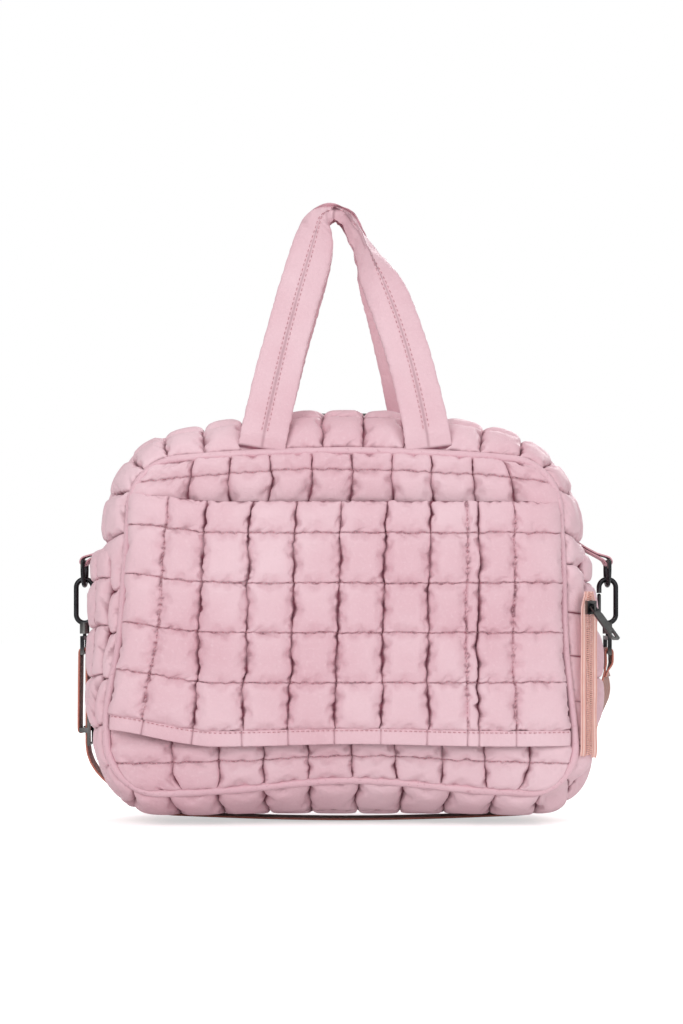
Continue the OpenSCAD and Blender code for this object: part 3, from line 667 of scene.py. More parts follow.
def flank_place(side):
    """A side pocket: s is the height up the flank (below 0 round the bottom corner), t the depth."""
    def place(s, t):
        corner = np.clip(s, None, 0) / BODY_BOTTOM_R
        w = np.where(s < 0, 2 + corner / (np.pi / 2), 2 + s / FLANK_RUN)
        x, y, z = cloth_point(w, t, side > 0)
        round_edge = 1 - np.clip(np.abs(t) / 68, 0, 1) ** 6
        belly = np.exp(-(((np.abs(t) - 40) / 12) ** 2))
        low = smooth((140 - s) / 80)
        full, waist = (8.6, 1.5) if side < 0 else (5 + 3 * low, 3 * low)
        off = full * round_edge + waist * belly
        off = off * np.cos(np.clip(corner, -1.2, 0)) ** 6
        off = off * smooth((s + 10) / 50) * (1 - smooth((70 - s) / 50) * np.exp(-((t / 20) ** 2)))
        return side * (x + off * np.cos(corner)), y, z + off * np.sin(corner)
    return place


def both_ends(place, depth=1.0):
    """A seam that runs straight across: the same place at both of its ends."""
    return (place, place, depth)


ROW_DEPTH = 0.34


def panel_seams():
    """The quilting of both panels, as columns and rows of seams."""
    left, right = (-PANEL_BOTTOM_HALF, -PANEL_TOP_HALF, 1), (PANEL_BOTTOM_HALF, PANEL_TOP_HALF, 1)
    cols = [left] + evenly(6.4, 5.6, 36.2, 32.4, -4, 4) + [right]
    rows = [both_ends(z, ROW_DEPTH) for z in np.arange(45, 290, 39.3)]
    return cols, [both_ends(PANEL_BOTTOM_Z + 1.5)] + rows + [both_ends(PANEL_TOP_Z - 0.5)]


def sleeve_seams():
    """The sleeve's quilting, with its divider seams, its shallower outer seams and its hem's row."""
    cols = [(-185, -174, 1), (-158, -143, 0.6)] + evenly(-8.2, -2.8, 37.6, 36.4, -3, 2)
    cols += [(100, 99.5, 0.5), (109.5, 108.5, 1), (140, 138, 0.6), (185, 174, 1)]
    rows = [both_ends(SLEEVE_TOP_Z - 25.5 - 39.8 * k, ROW_DEPTH) for k in (3, 2, 1, 0)]
    hem = both_ends(SLEEVE_BOTTOM_Z + 10, 0.4)
    return cols, [both_ends(SLEEVE_BOTTOM_Z + 2), hem] + rows + [both_ends(SLEEVE_TOP_Z)]


def under_puller(s, t):
    """The strip beyond the zip's end is flatter where the slider's puller lies on it."""
    return 1 - 0.7 * smooth((ZIP_END + 36 - np.abs(s)) / 8) * smooth((10 - np.abs(t)) / 4)


def top_seams():
    """The top gusset's columns, up to a sewn end at each shoulder."""
    places = [k * 33.4 - 18 for k in range(-12, 13)]
    cols = [both_ends(place) for place in places if abs(place) < TOP_SPAN - 14]
    return [both_ends(-TOP_SPAN)] + cols + [both_ends(TOP_SPAN)]


def pocket_seams():
    """The side pockets' seams. The zipped one stops short of the front, where its zip lies."""
    cols = [both_ends(-50)] + [both_ends(s, 0.85) for s in (14, 56, 96, 134)] + [both_ends(157)]
    shared = [both_ends(t, 0.6) for t in (-17, 17, 50)] + [both_ends(65)]
    return cols, [both_ends(-65), both_ends(-50, 0.4)] + shared, [both_ends(-50)] + shared


def base_seams():
    """The lower gusset's quilting, from one shoulder round the base to the other."""
    places = [k * 36 + 9 for k in range(-14, 14)]
    cols = [both_ends(place) for place in places if abs(place) < SEAM_RUN - 14]
    rows = [both_ends(t, ROW_DEPTH) for t in (-40, 0, 40)]
    cols = [both_ends(-SEAM_RUN)] + cols + [both_ends(SEAM_RUN)]
    return cols, [both_ends(-SEAM_Y + 1)] + rows + [both_ends(SEAM_Y - 1)]


def make_quilts():
    """Every quilted sheet, before simulation."""
    edge = SEAM_Y - 1
    panel_cols, panel_rows = panel_seams()
    sleeve_cols, sleeve_rows = sleeve_seams()
    base_cols, base_rows = base_seams()
    front_rows = [both_ends(-edge), both_ends(-45, 0.4), both_ends(-15.5)]
    rear_rows = [both_ends(15.5), both_ends(45, 0.4), both_ends(edge)]
    flank_cols, pocket_rows, zip_side_rows = pocket_seams()
    quilts = {
        "front_panel": Quilt("quilted_front_panel", panel_cols, panel_rows, front_panel_place, 4.8, 11, 3.2,
                             press=behind_sleeve),
        "rear_panel": Quilt("quilted_rear_panel", panel_cols, panel_rows, rear_panel_place, 5.2, 23, 3.2),
        "sleeve": Quilt("quilted_sleeve", sleeve_cols, sleeve_rows, sleeve_place, 5.6, 5, 2.7,
                        press=under_hem),
        "top_front": Quilt("quilted_top_gusset_front", top_seams(), front_rows, over_top, 5.4, 31, 2.8),
        "top_rear": Quilt("quilted_top_gusset_rear", top_seams(), rear_rows, over_top, 5.4, 37, 3.0),
        "base": Quilt("quilted_lower_gusset", base_cols, base_rows, round_base, 6.2, 41, 3.6,
                      press=under_pockets, floor=True),
        "left_pocket": Quilt("quilted_left_pocket", flank_cols, pocket_rows, flank_place(-1), 5.4, 43, 3.0,
                             press=under_strap, floor=True),
        "right_pocket": Quilt("quilted_right_pocket", flank_cols, zip_side_rows, flank_place(1), 5.4, 47, 3.0,
                              press=under_strap, floor=True),
    }
    for side, name in ((1, "right"), (-1, "left")):
        low, high = sorted((side * (TOP_SPAN - 1), side * ZIP_END))
        cols = [both_ends(low), both_ends((low + high) / 2), both_ends(high)]
        rows = [both_ends(-14.5), both_ends(14.5)]
        quilts[name + "_strip"] = Quilt(f"quilted_{name}_shoulder", cols, rows, over_top, 5.4, 53 + side, 3.0,
                                        press=under_puller)
    return quilts


# ---------------------------------------------------------------- straps, cords and threads


def unit(v):
    """Directions of a set of vectors."""
    return v / np.maximum(np.linalg.norm(v, axis=-1, keepdims=True), 1e-9)


def path_run(C):
    """How far along a path each of its points lies."""
    return np.concatenate([[0], np.cumsum(np.linalg.norm(np.diff(C, axis=0), axis=1))])


def resample(C, step):
    """The same path with points about step mm apart."""
    run = path_run(C)
    count = max(2, int(run[-1] / step))
    at = np.linspace(0, run[-1], count + 1)
    return np.stack([np.interp(at, run, C[:, k]) for k in range(3)], -1)


def soften(C, rounds):
    """Rounds a path's corners and keeps its ends."""
    for _ in range(rounds):
        C = np.concatenate([C[:1], (C[:-2] + 2 * C[1:-1] + C[2:]) / 4, C[-1:]])
    return C


def along(C, face, closed=False):
    """Directions across and out of a band that follows path C; face is roughly its outward side."""
    T = np.roll(C, -1, 0) - np.roll(C, 1, 0) if closed else np.gradient(C, axis=0)
    A = unit(np.cross(unit(T), face))
    return A, unit(np.cross(A, unit(T)))


def band_faces(n, m, closed=False):
    """Quads of n rings of m points; an open band also gets a lid at each end."""
    faces = [grid_faces(n, m, loop_u=closed, loop_v=True)]
    if not closed:
        k = np.arange(m // 2 - 1)
        lid = np.stack([k, k + 1, m - 2 - k, m - 1 - k], -1)
        faces += [lid, lid[:, ::-1] + (n - 1) * m]
    return np.concatenate(faces)


def sweep(name, C, A, B, shape, closed=False, values=None):
    """A band or cord: shape holds rings of places across (A) and out (B), with an even number of points."""
    n = len(C)
    shape = np.broadcast_to(shape, (n,) + shape.shape[-2:])
    m = shape.shape[1]
    P = C[:, None] + A[:, None] * shape[..., :1] + B[:, None] * shape[..., 1:]
    run = np.broadcast_to(path_run(C)[:, None], (n, m))
    values = {key: np.broadcast_to(v[:, None], (n, m)) for key, v in (values or {}).items()}
    uv = np.stack([shape[..., 0], run], -1)
    return new_mesh(name, P.reshape(-1, 3), band_faces(n, m, closed), uv.reshape(-1, 2), values)


def ellipse(a, b, count, power=2.0):
    """A ring of points: half width a, half thickness b; a high power squares it off."""
    angle = 2 * np.pi * (np.arange(count) + 0.5) / count
    ring = np.stack([np.cos(angle), np.sin(angle)], -1)
    return np.array([a, b]) * np.sign(ring) * np.abs(ring) ** (2 / power)


def woven_band(half_w, half_t, ribs=9):
    """A webbing cross-section with a few low ribs and rounded edges."""
    ring = ellipse(half_w, half_t, 72, 7)
    rib = 1 + 0.10 * np.cos(np.pi * ribs * ring[:, 0] / half_w)
    return ring * np.stack([np.ones(len(ring)), rib], -1)


def threads(name, point, out, fat):
    """Many short rods in one piece: each row of point is one rod's five places, fat its five radii."""
    angle = np.pi / 3 * np.arange(6)
    side = unit(np.cross(unit(np.gradient(point, axis=1)), out))
    ring = side[:, :, None] * np.cos(angle)[:, None] + out[:, :, None] * np.sin(angle)[:, None]
    verts = (point[:, :, None] + ring * fat[:, None, None]).reshape(-1, 3)
    ends = np.array([[5, 4, 3, 2], [5, 2, 1, 0], [24, 25, 26, 27], [24, 27, 28, 29]])
    one = np.concatenate([grid_faces(5, 6, loop_v=True), ends])
    first = 30 * np.arange(len(point))[:, None, None]
    return new_mesh(name, verts, (one[None] + first).reshape(-1, 4))


def stitches(name, rows, length=2.8, gap=1.5, r=0.38, lift=0.25):
    """Thread stitches along rows of (path, outward directions), as one piece."""
    share = np.array([0, 0.12, 0.5, 0.88, 1.0])
    rise = lift + r * np.array([-1.0, 0.3, 0.7, 0.3, -1.0])
    points, outs = [], []
    for C, N in rows:
        run = path_run(C)
        starts = np.arange(gap, run[-1] - length - gap, length + gap)
        at = starts[:, None] + length * share
        out = unit(np.stack([np.interp(at, run, N[:, k]) for k in range(3)], -1))
        point = np.stack([np.interp(at, run, C[:, k]) for k in range(3)], -1)
        points.append(point + out * rise[:, None])
        outs.append(out)
    fat = np.array([0.35, 0.95, 1.0, 0.95, 0.35]) * r
    return threads(name, np.concatenate(points), np.concatenate(outs), fat)


def coil(name, C, out, pitch=1.7, reach=3.0, r=0.62):
    """The two interlocked rows of a coil zip along path C."""
    run = path_run(C)
    points, outs = [], []
    for side in (-1, 1):
        at = np.arange(pitch, run[-1] - pitch, pitch) + side * pitch / 4
        centre = np.stack([np.interp(at, run, C[:, k]) for k in range(3)], -1)
        up = unit(np.stack([np.interp(at, run, out[:, k]) for k in range(3)], -1))
        T = unit(np.gradient(centre, axis=0))
        across = np.cross(T, up)
        reach_at = side * reach * np.array([-0.12, 0.1, 0.5, 0.9, 1.0])
        rise = r * np.array([0.5, 1.3, 1.7, 1.2, -0.2])
        slant = 0.25 * pitch * np.array([0, 0.1, 0.5, 0.9, 1.0])
        points.append(centre[:, None] + across[:, None] * reach_at[:, None] + up[:, None] * rise[:, None]
                      + T[:, None] * slant[:, None])
        outs.append(np.repeat(up[:, None], 5, 1))
    fat = np.array([0.8, 1.0, 0.95, 1.0, 0.8]) * r
    return threads(name, np.concatenate(points), np.concatenate(outs), fat)


def outline_path(outline, y, count):
    """Evenly spaced points all the way round an outline at depth y."""
    w = np.linspace(0, 10, count, endpoint=False)
    x, z = outline.at(w)
    C = np.stack(np.broadcast_arrays(x, y, z), -1)
    run = np.linspace(0, 1, count, endpoint=False)
    full = path_run(np.concatenate([C, C[:1]]))
    return np.stack([np.interp(run * full[-1], full, np.append(C[:, k], C[0, k])) for k in range(3)], -1)


def piping(name, y, seed):
    """A cord in a bias-cut sleeve, sewn between panel and gusset, with the fine gathers of a sewn bend."""
    C = sagged(outline_path(PANEL, y, 2000))
    A, B = along(C, np.array([0, np.sign(y), 0]), closed=True)
    angle = 2 * np.pi * np.arange(16) / 16
    run = path_run(C)[:, None]
    loop_len = run[-1] + 1
    wave = np.cos(2 * np.pi * np.round(loop_len / 9) * run / loop_len)
    r = CORD_R + 0.05 * noise(run / 2.1, angle * 0.9, seed) + 0.03 * wave
    r = r + 0.16 * noise(run / 14, angle * 0.4, seed + 1)
    shape = np.stack([r * np.cos(angle), r * np.sin(angle)], -1)
    return sweep(name, C, A, B, shape, closed=True)


def hem_band(name):
    """The binding that finishes the sleeve's bottom edge."""
    x = np.linspace(-PANEL_BOTTOM_HALF + 2, PANEL_BOTTOM_HALF - 2, 900)
    z = SLEEVE_BOTTOM_Z + 4.8 + 0.5 * noise(x / 60, 0, 71)
    C = np.stack(sleeve_place(x, z), -1) + np.array([0, -2.0, 0])
    pleat = sum(np.exp(-(((x - seam[0]) / 1.3) ** 2)) for seam in sleeve_seams()[0])
    C[:, 1] += 0.7 * noise(x / 15, 3, 72) + 1.3 * pleat
    C = sagged(C)
    A, B = along(C, np.array([0, -1, 0]))
    pinch = 1 + 0.14 * noise(x / 3.6, 1, 73) + 0.14 * noise(x / 9, 1, 74)
    shape = ellipse(6.2, 1.3, 28, 3.2)[None] * np.stack([1 + 0.02 * pinch, pinch], -1)[:, None]
    # Painted shade: the binding's colour is darkened in its pleats at the seams, with a little fine random
    # darkening.
    crease = 0.5 * pleat + 0.1 * np.clip(noise(x / 2, 2, 75), 0, 1)
    band = sweep(name, C, A, B, shape, values={"crease": crease})
    upper = 1.0 if A[len(A) // 2, 2] > 0 else -1.0
    return band, (C + A * 4.6 * upper + B * 1.0, B)


def gathered_edge(name):
    """The left pocket's elastic top: a soft tube drawn up into close gathers."""
    t = np.linspace(-66, 66, 330)
    C = np.stack(flank_place(-1)(153 + 0 * t, t), -1) + np.array([-3.0, 0, 0])
    C = sagged(C)
    A, B = along(C, np.array([-1, 0, 0]))
    gather = 1 + 0.20 * noise(t / 2.6, 0, 81) + 0.12 * noise(t / 6, 5, 82)
    shape = ellipse(5.2, 2.8, 24, 2.6)[None] * np.stack([1 + 0.04 * gather, gather], -1)[:, None]
    return sweep(name, C, A, B, shape)


# ---------------------------------------------------------------- carry handles

HANDLE_FOOT_Z = 294.0
HANDLE_FOOT_Y = 86.0
HANDLE_RISE = 229.0
HANDLE_LEAN = math.atan2(HANDLE_FOOT_Y - 6.6, 212)
REAR_HANDLE_SHIFT = 6
HANDLE_HALF = 18.4


def bezier(a, b, c, t):
    """A curve from a to c that sets out towards b."""
    return (1 - t) ** 2 * a + 2 * t * (1 - t) * b + t**2 * c


def handle_path(count=460):
    """The strap's centre line in its own leaning plane: left foot, grip, right foot."""
    left, right = np.array([-68.7, 1.0]), np.array([67.4, 1.0])
    grip, r = np.array([-8.6, HANDLE_RISE - 23]), 14
    turn = np.radians(np.linspace(167, 26, 14))[:, None]
    arc = grip + r * np.concatenate([np.cos(turn), np.sin(turn)], 1)
    rise = np.linspace(0, 1, 20, endpoint=False)[:, None]
    leg = left * (1 - rise) + arc[:1] * rise + np.array([[-2.5, 0]]) * np.sin(np.pi * rise)
    fall = np.linspace(0, 1, 24)[1:, None]
    other = bezier(arc[-1], np.array([50, 128]), right, fall)
    C = np.concatenate([leg, arc, other])
    C = np.stack([C[:, 0], 0 * C[:, 0], C[:, 1]], -1)
    return resample(soften(resample(C, 2), 3), path_run(C)[-1] / count)


def handle_grid(C, a, seed):
    """The strap's surface in its own plane, as rings round path C, and how far each ring is in the grip's
    tight bend. a runs across the strap from -1 to 1 on its outer face, and back on its inner face."""
    run = path_run(C)[:, None]
    q = run / run[-1]
    out = np.array([0, -1.0, 0])
    A = unit(np.cross(unit(np.gradient(C, axis=0)), out))
    face = np.repeat([1, -1], len(a) // 2)
    lobe = np.clip(1 - (2 * np.abs(a) - 1) ** 4, 0, 1) ** 0.6
    bend = np.exp(-(((q - 0.485) / 0.045) ** 2))
    fold = np.radians(50) * np.exp(-(((q - 0.555) / 0.085) ** 2)) + np.radians(18) * smooth((q - 0.15) / 0.35)
    fold = fold * smooth((1 - q) / 0.4)
    thick = (0.9 + (0.4 + 1.0 * smooth(C[:, 2:] / 26)) * lobe) * (1 + 0.3 * np.sin(fold))
    wrinkle = noise(run / 7, a * 1.6, seed + 1) * (0.25 + 1.0 * np.sin(fold) ** 2)
    wrinkle += 0.25 * noise(run / 2.4, a * 2.2, seed + 2) * np.exp(-((a / 0.18) ** 2))
    wrinkle += 0.5 * noise(run / 5 + 2 * a, a * 2.5, seed + 6) * noise(q * 11, a, seed + 7)
    wrinkle += 1.6 * bend * noise(run / 3.2 + 1.5 * a, a * 1.2, seed + 8)
    edge = 0.35 * noise(run / 2.8, np.sign(a) * 3, seed + 3) * (np.abs(a) > 0.85)
    reach = (np.abs(a) * handle_half(q, seed) + edge) * (1 - 0.6 * bend * (a > 0))
    push = face * thick + wrinkle
    across = np.sign(a) * (reach * np.cos(fold) - push * np.sin(fold) * 0.6)
    outward = (5 - reach) * np.sin(fold) + push * (0.55 + 0.45 * np.cos(fold))
    P = C[:, None] + A[:, None] * across[..., None] + out * outward[..., None]
    crumple = np.exp(-(((q - 0.56) / 0.07) ** 2))
    P[..., 2] += 2.2 * crumple * noise(q * 60, a * 2.0, seed + 4)
    P[..., 0] += 1.6 * crumple * noise(q * 48, a * 1.5 + 7, seed + 5)
    P[..., 1] += 9.5 * (1 - smooth(C[:, 2:] / 20)) ** 1.5
    return P, bend


def handle_half(q, seed):
    """The strap's half width, which wavers a little along it."""
    return HANDLE_HALF + 0.6 * noise(q * 9, 0, seed)


def stand_handle(P, side):
    """Leans a handle's points from their own plane towards the bag's middle."""
    c, s = math.cos(HANDLE_LEAN), math.sin(HANDLE_LEAN)
    y, z = P[..., 1].copy(), P[..., 2].copy()
    P[..., 1] = side * (HANDLE_FOOT_Y - y * c - z * s)
    P[..., 2] = HANDLE_FOOT_Z - y * s + z * c


def handle_crease(C, a, bend, seed):
    """Painted shade: dark along the middle seam's groove, in the grip's wrinkles and across the sewn ends."""
    run = path_run(C)[:, None]
    crease = 0.3 * np.exp(-((a / 0.05) ** 2)) + 0.12 * np.exp(-((a / 0.2) ** 2))
    crease = crease + 0.45 * bend * np.clip(noise(run / 3.2 + 1.5 * a, a * 1.2, seed + 8), 0, 1)
    return np.maximum(crease, 0.9 * np.exp(-(((C[:, 2:] - 5.5) / 1.4) ** 2)))


def handle(name, side, seed):
    """A padded strap with a stitched middle; it folds up on itself towards the grip. side -1 is the front."""
    C = handle_path()
    n, m = len(C), 40
    a = np.concatenate([np.linspace(-1, 1, m), np.linspace(1, -1, m)])
    P, bend = handle_grid(C, a, seed)
    stand_handle(P, side)
    if side > 0:
        P[..., 0] -= REAR_HANDLE_SHIFT * (1 - smooth(C[:, 2:] / HANDLE_RISE))
    run = np.broadcast_to(path_run(C)[:, None], (n, 2 * m))
    uv = np.stack([a * handle_half(run / run[-1], seed), run], -1)
    faces = band_faces(n, 2 * m)
    values = {"crease": handle_crease(C, a, bend, seed)}
    piece = new_mesh(name, P.reshape(-1, 3), faces, uv.reshape(-1, 2), values)
    N = normals_of(P[:, :m])
    N = N * np.where(np.sum(N[:, :, 1]) * side < 0, -1, 1)
    keep = slice(16, n - 16)
    return piece, [(P[keep, k], N[keep, k]) for k in (m // 2 - 3, m // 2 + 2)]


# ---------------------------------------------------------------- webbing

STRAP_LOW, STRAP_HIGH = box_mm("strap_webbing")
STRAP_HALF = (STRAP_HIGH[1] - STRAP_LOW[1]) / 2
STRAP_T = 1.8
EYE_BAR_Z = box_mm("right_swivel_eye")[0][2] + 2.4
EYE_LOOP_R = 3.0
RUN_X = HOOK_X - EYE_LOOP_R
CORNER_X, CORNER_Z = CROWN.low
UNDER_Z = 2.6
STRAP_DIP = STRAP_LOW[2] + 4.6
ADJUSTER_Z = sum(box_mm("strap_adjuster")[i][2] for i in (0, 1)) / 2


def in_plane(points):
    """Points given as (x, z) in the bag's middle plane."""
    points = np.array(points, float)
    return np.stack([points[:, 0], 0 * points[:, 0], points[:, 1]], -1)


SLACK_X = 204.0


def strap_down(slack):
    """From beside the eye's bar down the right side and under to the middle of the base. A slack run hugs
    the bag."""
    a = np.radians(np.linspace(0, -90, 16))
    r = CORNER_Z + UNDER_Z
    reach = r + ((SLACK_X if slack else RUN_X) - CORNER_X - r) * np.cos(a) ** 6
    corner = np.stack([CORNER_X + reach * np.cos(a), CORNER_Z + reach * np.sin(a)], -1)
    t = np.linspace(0, 1, 9)[1:]
    under = np.stack([CORNER_X * (1 - t), -UNDER_Z + (STRAP_DIP + UNDER_Z) * np.sin(np.pi / 2 * t)], -1)
    hang = [[0, 0], [1.4, -22], [0.4, -40], [-5, -58]]
    hang = np.array(hang) + np.array([RUN_X, EYE_BAR_Z])
    return np.concatenate([hang if slack else hang[:1], corner, under])


def bar_turn(first, last, r, x=HOOK_X, z=EYE_BAR_Z, count=14):
    """An arc round a bar at (x, z), between two angles in degrees."""
    a = np.radians(np.linspace(first, last, count))
    return np.stack([x + r * np.cos(a), z + r * np.sin(a)], -1)


def slack_turn(C):
    """How far the slack right side of the strap turns its face to the front, in radians."""
    turned = smooth((EYE_BAR_Z - 6 - C[:, 2]) / 30) * smooth((C[:, 2] - CORNER_Z) / 60)
    return math.radians(27) * turned * (C[:, 0] > 0)


def webbing(name, points, half_w, half_t, rounds=2, turn=None):
    """Webbing along (x, z) points, softened in rounds; turn tells how far its face twists forwards."""
    C = resample(soften(resample(in_plane(points), 1.2), rounds), 1.2)
    angle = turn(C)[:, None] if turn else np.zeros((len(C), 1))
    A = np.array([0, 1.0, 0]) * np.cos(angle) + np.array([1.0, 0, 0]) * np.sin(angle)
    B = unit(np.cross(A, np.gradient(C, axis=0)))
    return sweep(name, C, A, B, woven_band(half_w, half_t))


def strap():
    """The shoulder strap: round the right eye's bar, down the right side, under the bag and up the left."""
    half = strap_down(slack=True)
    leaf_x = RUN_X + STRAP_T + 1.3
    leaf = [[leaf_x, EYE_BAR_Z - 21], [leaf_x, EYE_BAR_Z - 16], [HOOK_X + EYE_LOOP_R, EYE_BAR_Z - 10]]
    other = strap_down(slack=False)[::-1] * np.array([-1, 1])
    points = np.concatenate([leaf, bar_turn(0, 180, EYE_LOOP_R), half[1:], other[1:]])
    return webbing("shoulder_strap_webbing", points, STRAP_HALF, STRAP_T / 2, turn=slack_turn)


def length_loop():
    """The strap's end: from the left eye's bar to a turn round the adjuster."""
    bar_x = RUN_X + STRAP_T / 2 + 0.2 + STRAP_T + 1.6
    top = bar_turn(172, 0, EYE_LOOP_R)
    low = bar_turn(0, -178, 2.15, bar_x, ADJUSTER_Z, 12)
    points = np.concatenate([top, [[bar_x + 2.15, ADJUSTER_Z + 12]], low]) * np.array([-1, 1])
    return webbing("strap_adjusting_loop", points, STRAP_HALF, STRAP_T / 2, 1)


def ring_tab(name, side):
    """A doubled leaf of webbing from the gusset seam, round the ring's straight bar."""
    bar_z = box_mm("right_d_ring")[1][2] - 1.9
    turn = bar_turn(20, -200, 3.0, HOOK_X, bar_z, 16)
    outer = [[189.0, 227], [200.0, 219.8], [209.5, 214.8], [HOOK_X + 0.9, 211.9]]
    inner = [[HOOK_X - 3.7, 209.3], [209.0, 212.9], [199.4, 217.9], [188.4, 225]]
    points = np.concatenate([outer, turn, inner]) * np.array([side, 1])
    return webbing(name, points, 12, 0.75)


# ---------------------------------------------------------------- zips

ZIP_R = CROWN_R - 5
ZIP_TAPE_T = 1.2
ZIP_HALF_ANGLE = np.pi / 2 - CROWN.crown
SIDE_ZIP_X, SIDE_ZIP_Y = 195.5, -74.5
SIDE_ZIP_TURN = math.radians(-50)
SIDE_ZIP_TOP = box_mm("side_zip_tapes")[1][2]


def top_zip_path(lift, y=0.0):
    """Along the crown, lift mm above its cloth, with the way out at each point."""
    angle = np.linspace(-ZIP_HALF_ANGLE, ZIP_HALF_ANGLE, 160)
    up = np.stack([np.sin(angle), 0 * angle, np.cos(angle)], -1)
    return up * (ZIP_R + lift) + np.array([0, y, BODY_H - CROWN_R]), up


def side_zip_path(lift):
    """Down the right side's front edge and round the bottom corner."""
    w = np.linspace(2, 1.86, 14)
    x, y, z = body_point(w, SIDE_ZIP_Y)
    dx, dz = np.gradient(x), np.gradient(z)
    out = unit(np.stack([-dz, 0 * dx, dx], -1))
    stand = SIDE_ZIP_X - x[0]
    low = np.stack([x, y + 0 * x, z], -1) + out * stand
    top = np.array([[SIDE_ZIP_X, SIDE_ZIP_Y, SIDE_ZIP_TOP + 1]])
    C = resample(np.concatenate([top, low]), 1.5)
    T = unit(np.gradient(C, axis=0))
    flat = unit(np.cross(T, np.array([0, -1.0, 0])))
    flat = flat * np.where(flat[:, :1] < 0, -1, 1)
    out = flat * math.cos(SIDE_ZIP_TURN) + np.array([0, 1.0, 0]) * math.sin(SIDE_ZIP_TURN)
    return C + out * lift, out


def tape_strip(name, C, out, offset, half_w, seed):
    """One half of a zip's tape, offset sideways from path C, with a slight waver."""
    A = unit(np.cross(unit(np.gradient(C, axis=0)), out))
    B = np.cross(A, unit(np.gradient(C, axis=0)))
    B = B * np.where(np.sum(B * out) < 0, -1, 1)
    run = path_run(C)
    C = C + A * offset + B * (0.35 * noise(run / 16, 0, seed))[:, None]
    return sweep(name, C, A, B, ellipse(half_w, 0.55, 40, 8))


def join(name, pieces):
    """Makes one piece of several."""
    mesh = bpy.data.meshes.new(name)
    build = bmesh.new()
    for piece in pieces:
        build.from_mesh(piece.data)
        bpy.data.objects.remove(piece)
    build.to_mesh(mesh)
    build.free()
    whole = bpy.data.objects.new(name, mesh)
    bpy.context.scene.collection.objects.link(whole)
    return whole


def side_zip():
    """The side zip's two tapes as one piece, close together at the top, and its chain."""
    C, out = side_zip_path(ZIP_TAPE_T / 2)
    taper = 0.35 + 0.65 * smooth((SIDE_ZIP_TOP + 2 - C[:, 2:]) / 16)
    strips = [tape_strip("strip", C, out, side * 6.1 * taper, 2.9, 91 + side) for side in (-1, 1)]
    tape = join("side_zip_cloth_tapes", strips)
    chain, up = side_zip_path(ZIP_TAPE_T * 0.6)
    return tape, coil("side_zip_chain", chain, up)


def top_zip():
    """The top zip's front tape, rear tape and chain."""
    tapes = []
    for side, name in ((-1, "front"), (1, "rear")):
        C, out = top_zip_path(ZIP_TAPE_T / 2, side * 10.8)
        tapes.append(tape_strip(f"top_zip_cloth_tape_{name}", C, out, 0, 7.4, 95 + side))
    chain, up = top_zip_path(ZIP_TAPE_T * 0.6)
    return tapes[0], tapes[1], coil("top_zip_chain", chain, up)


# ---------------------------------------------------------------- materials


def srgb(code):
    """Linear colour of a #rrggbb code."""
    parts = [int(code[k:k + 2], 16) / 255 for k in (1, 3, 5)]
    return tuple(c / 12.92 if c <= 0.04045 else ((c + 0.055) / 1.055) ** 2.4 for c in parts) + (1.0,)


class Finish:
    """A node material, built with short calls."""

    def __init__(self, name):
        self.material = bpy.data.materials.new(name)
        self.material.use_nodes = True
        self.tree = self.material.node_tree
        self.shader = self.tree.nodes["Principled BSDF"]

    def node(self, kind, inputs=None, **settings):
        made = self.tree.nodes.new("ShaderNode" + kind)
        for key, value in settings.items():
            setattr(made, key, value)
        for key, value in (inputs or {}).items():
            self.put(made.inputs[key], value)
        return made

    def put(self, socket, value):
        if isinstance(value, bpy.types.NodeSocket):
            self.tree.links.new(value, socket)
        else:
            socket.default_value = value

    def set(self, **inputs):
        for key, value in inputs.items():
            self.put(self.shader.inputs[key.replace("_", " ")], value)

    def place(self):
        return self.node("TexCoord").outputs["Object"]

    def cloth(self, x=1.0, y=1.0):
        """The cloth's own flat coordinates, in metres, stretched by x and y."""
        uv = self.node("UVMap", uv_map="cloth").outputs["UV"]
        return self.node("Mapping", {"Vector": uv, "Scale": (x, y, 1)}).outputs["Vector"]

    def noise(self, at, scale, detail=3.0, roughness=0.5):
        inputs = {"Vector": at, "Scale": scale, "Detail": detail, "Roughness": roughness}
        return self.node("TexNoise", inputs).outputs["Fac"]

    def wave(self, at, scale, direction="X", distortion=0.0):
        inputs = {"Vector": at, "Scale": scale, "Distortion": distortion}
        return self.node("TexWave", inputs, bands_direction=direction).outputs["Fac"]

    def value(self, name):
        return self.node("Attribute", attribute_name=name).outputs["Fac"]

    def math(self, operation, a, b=0.0):
        made = self.node("Math", operation=operation)
        self.put(made.inputs[0], a)
        self.put(made.inputs[1], b)
        return made.outputs[0]

    def between(self, fac, a, b, low=0.0, high=1.0):
        """Colour a where fac is low, b where it is high."""
        ranged = self.node("MapRange", {"Value": fac, "From Min": low, "From Max": high}).outputs[0]
        made = self.node("Mix", data_type="RGBA")
        self.put(made.inputs["Factor"], ranged)
        self.put(made.inputs[6], a)
        self.put(made.inputs[7], b)
        return made.outputs[2]

    def level(self, fac, a, b, low=0.0, high=1.0):
        """Number a where fac is low, b where it is high."""
        inputs = {"Value": fac, "From Min": low, "From Max": high, "To Min": a, "To Max": b}
        return self.node("MapRange", inputs).outputs[0]

    def bump(self, *heights):
        """Stacks (height, depth in mm) pairs."""
        normal = None
        for height, depth in heights:
            inputs = {"Height": height, "Distance": depth * MM, "Strength": 1.0}
            if normal is not None:
                inputs["Normal"] = normal
            normal = self.node("Bump", inputs).outputs["Normal"]
        self.set(Normal=normal)


def plain_weave(f, pitch):
    """Over-and-under threads with a pitch in mm."""
    at, scale = f.cloth(), 100 / pitch
    return f.math("MULTIPLY", f.wave(at, scale, "X"), f.wave(at, scale, "Y"))


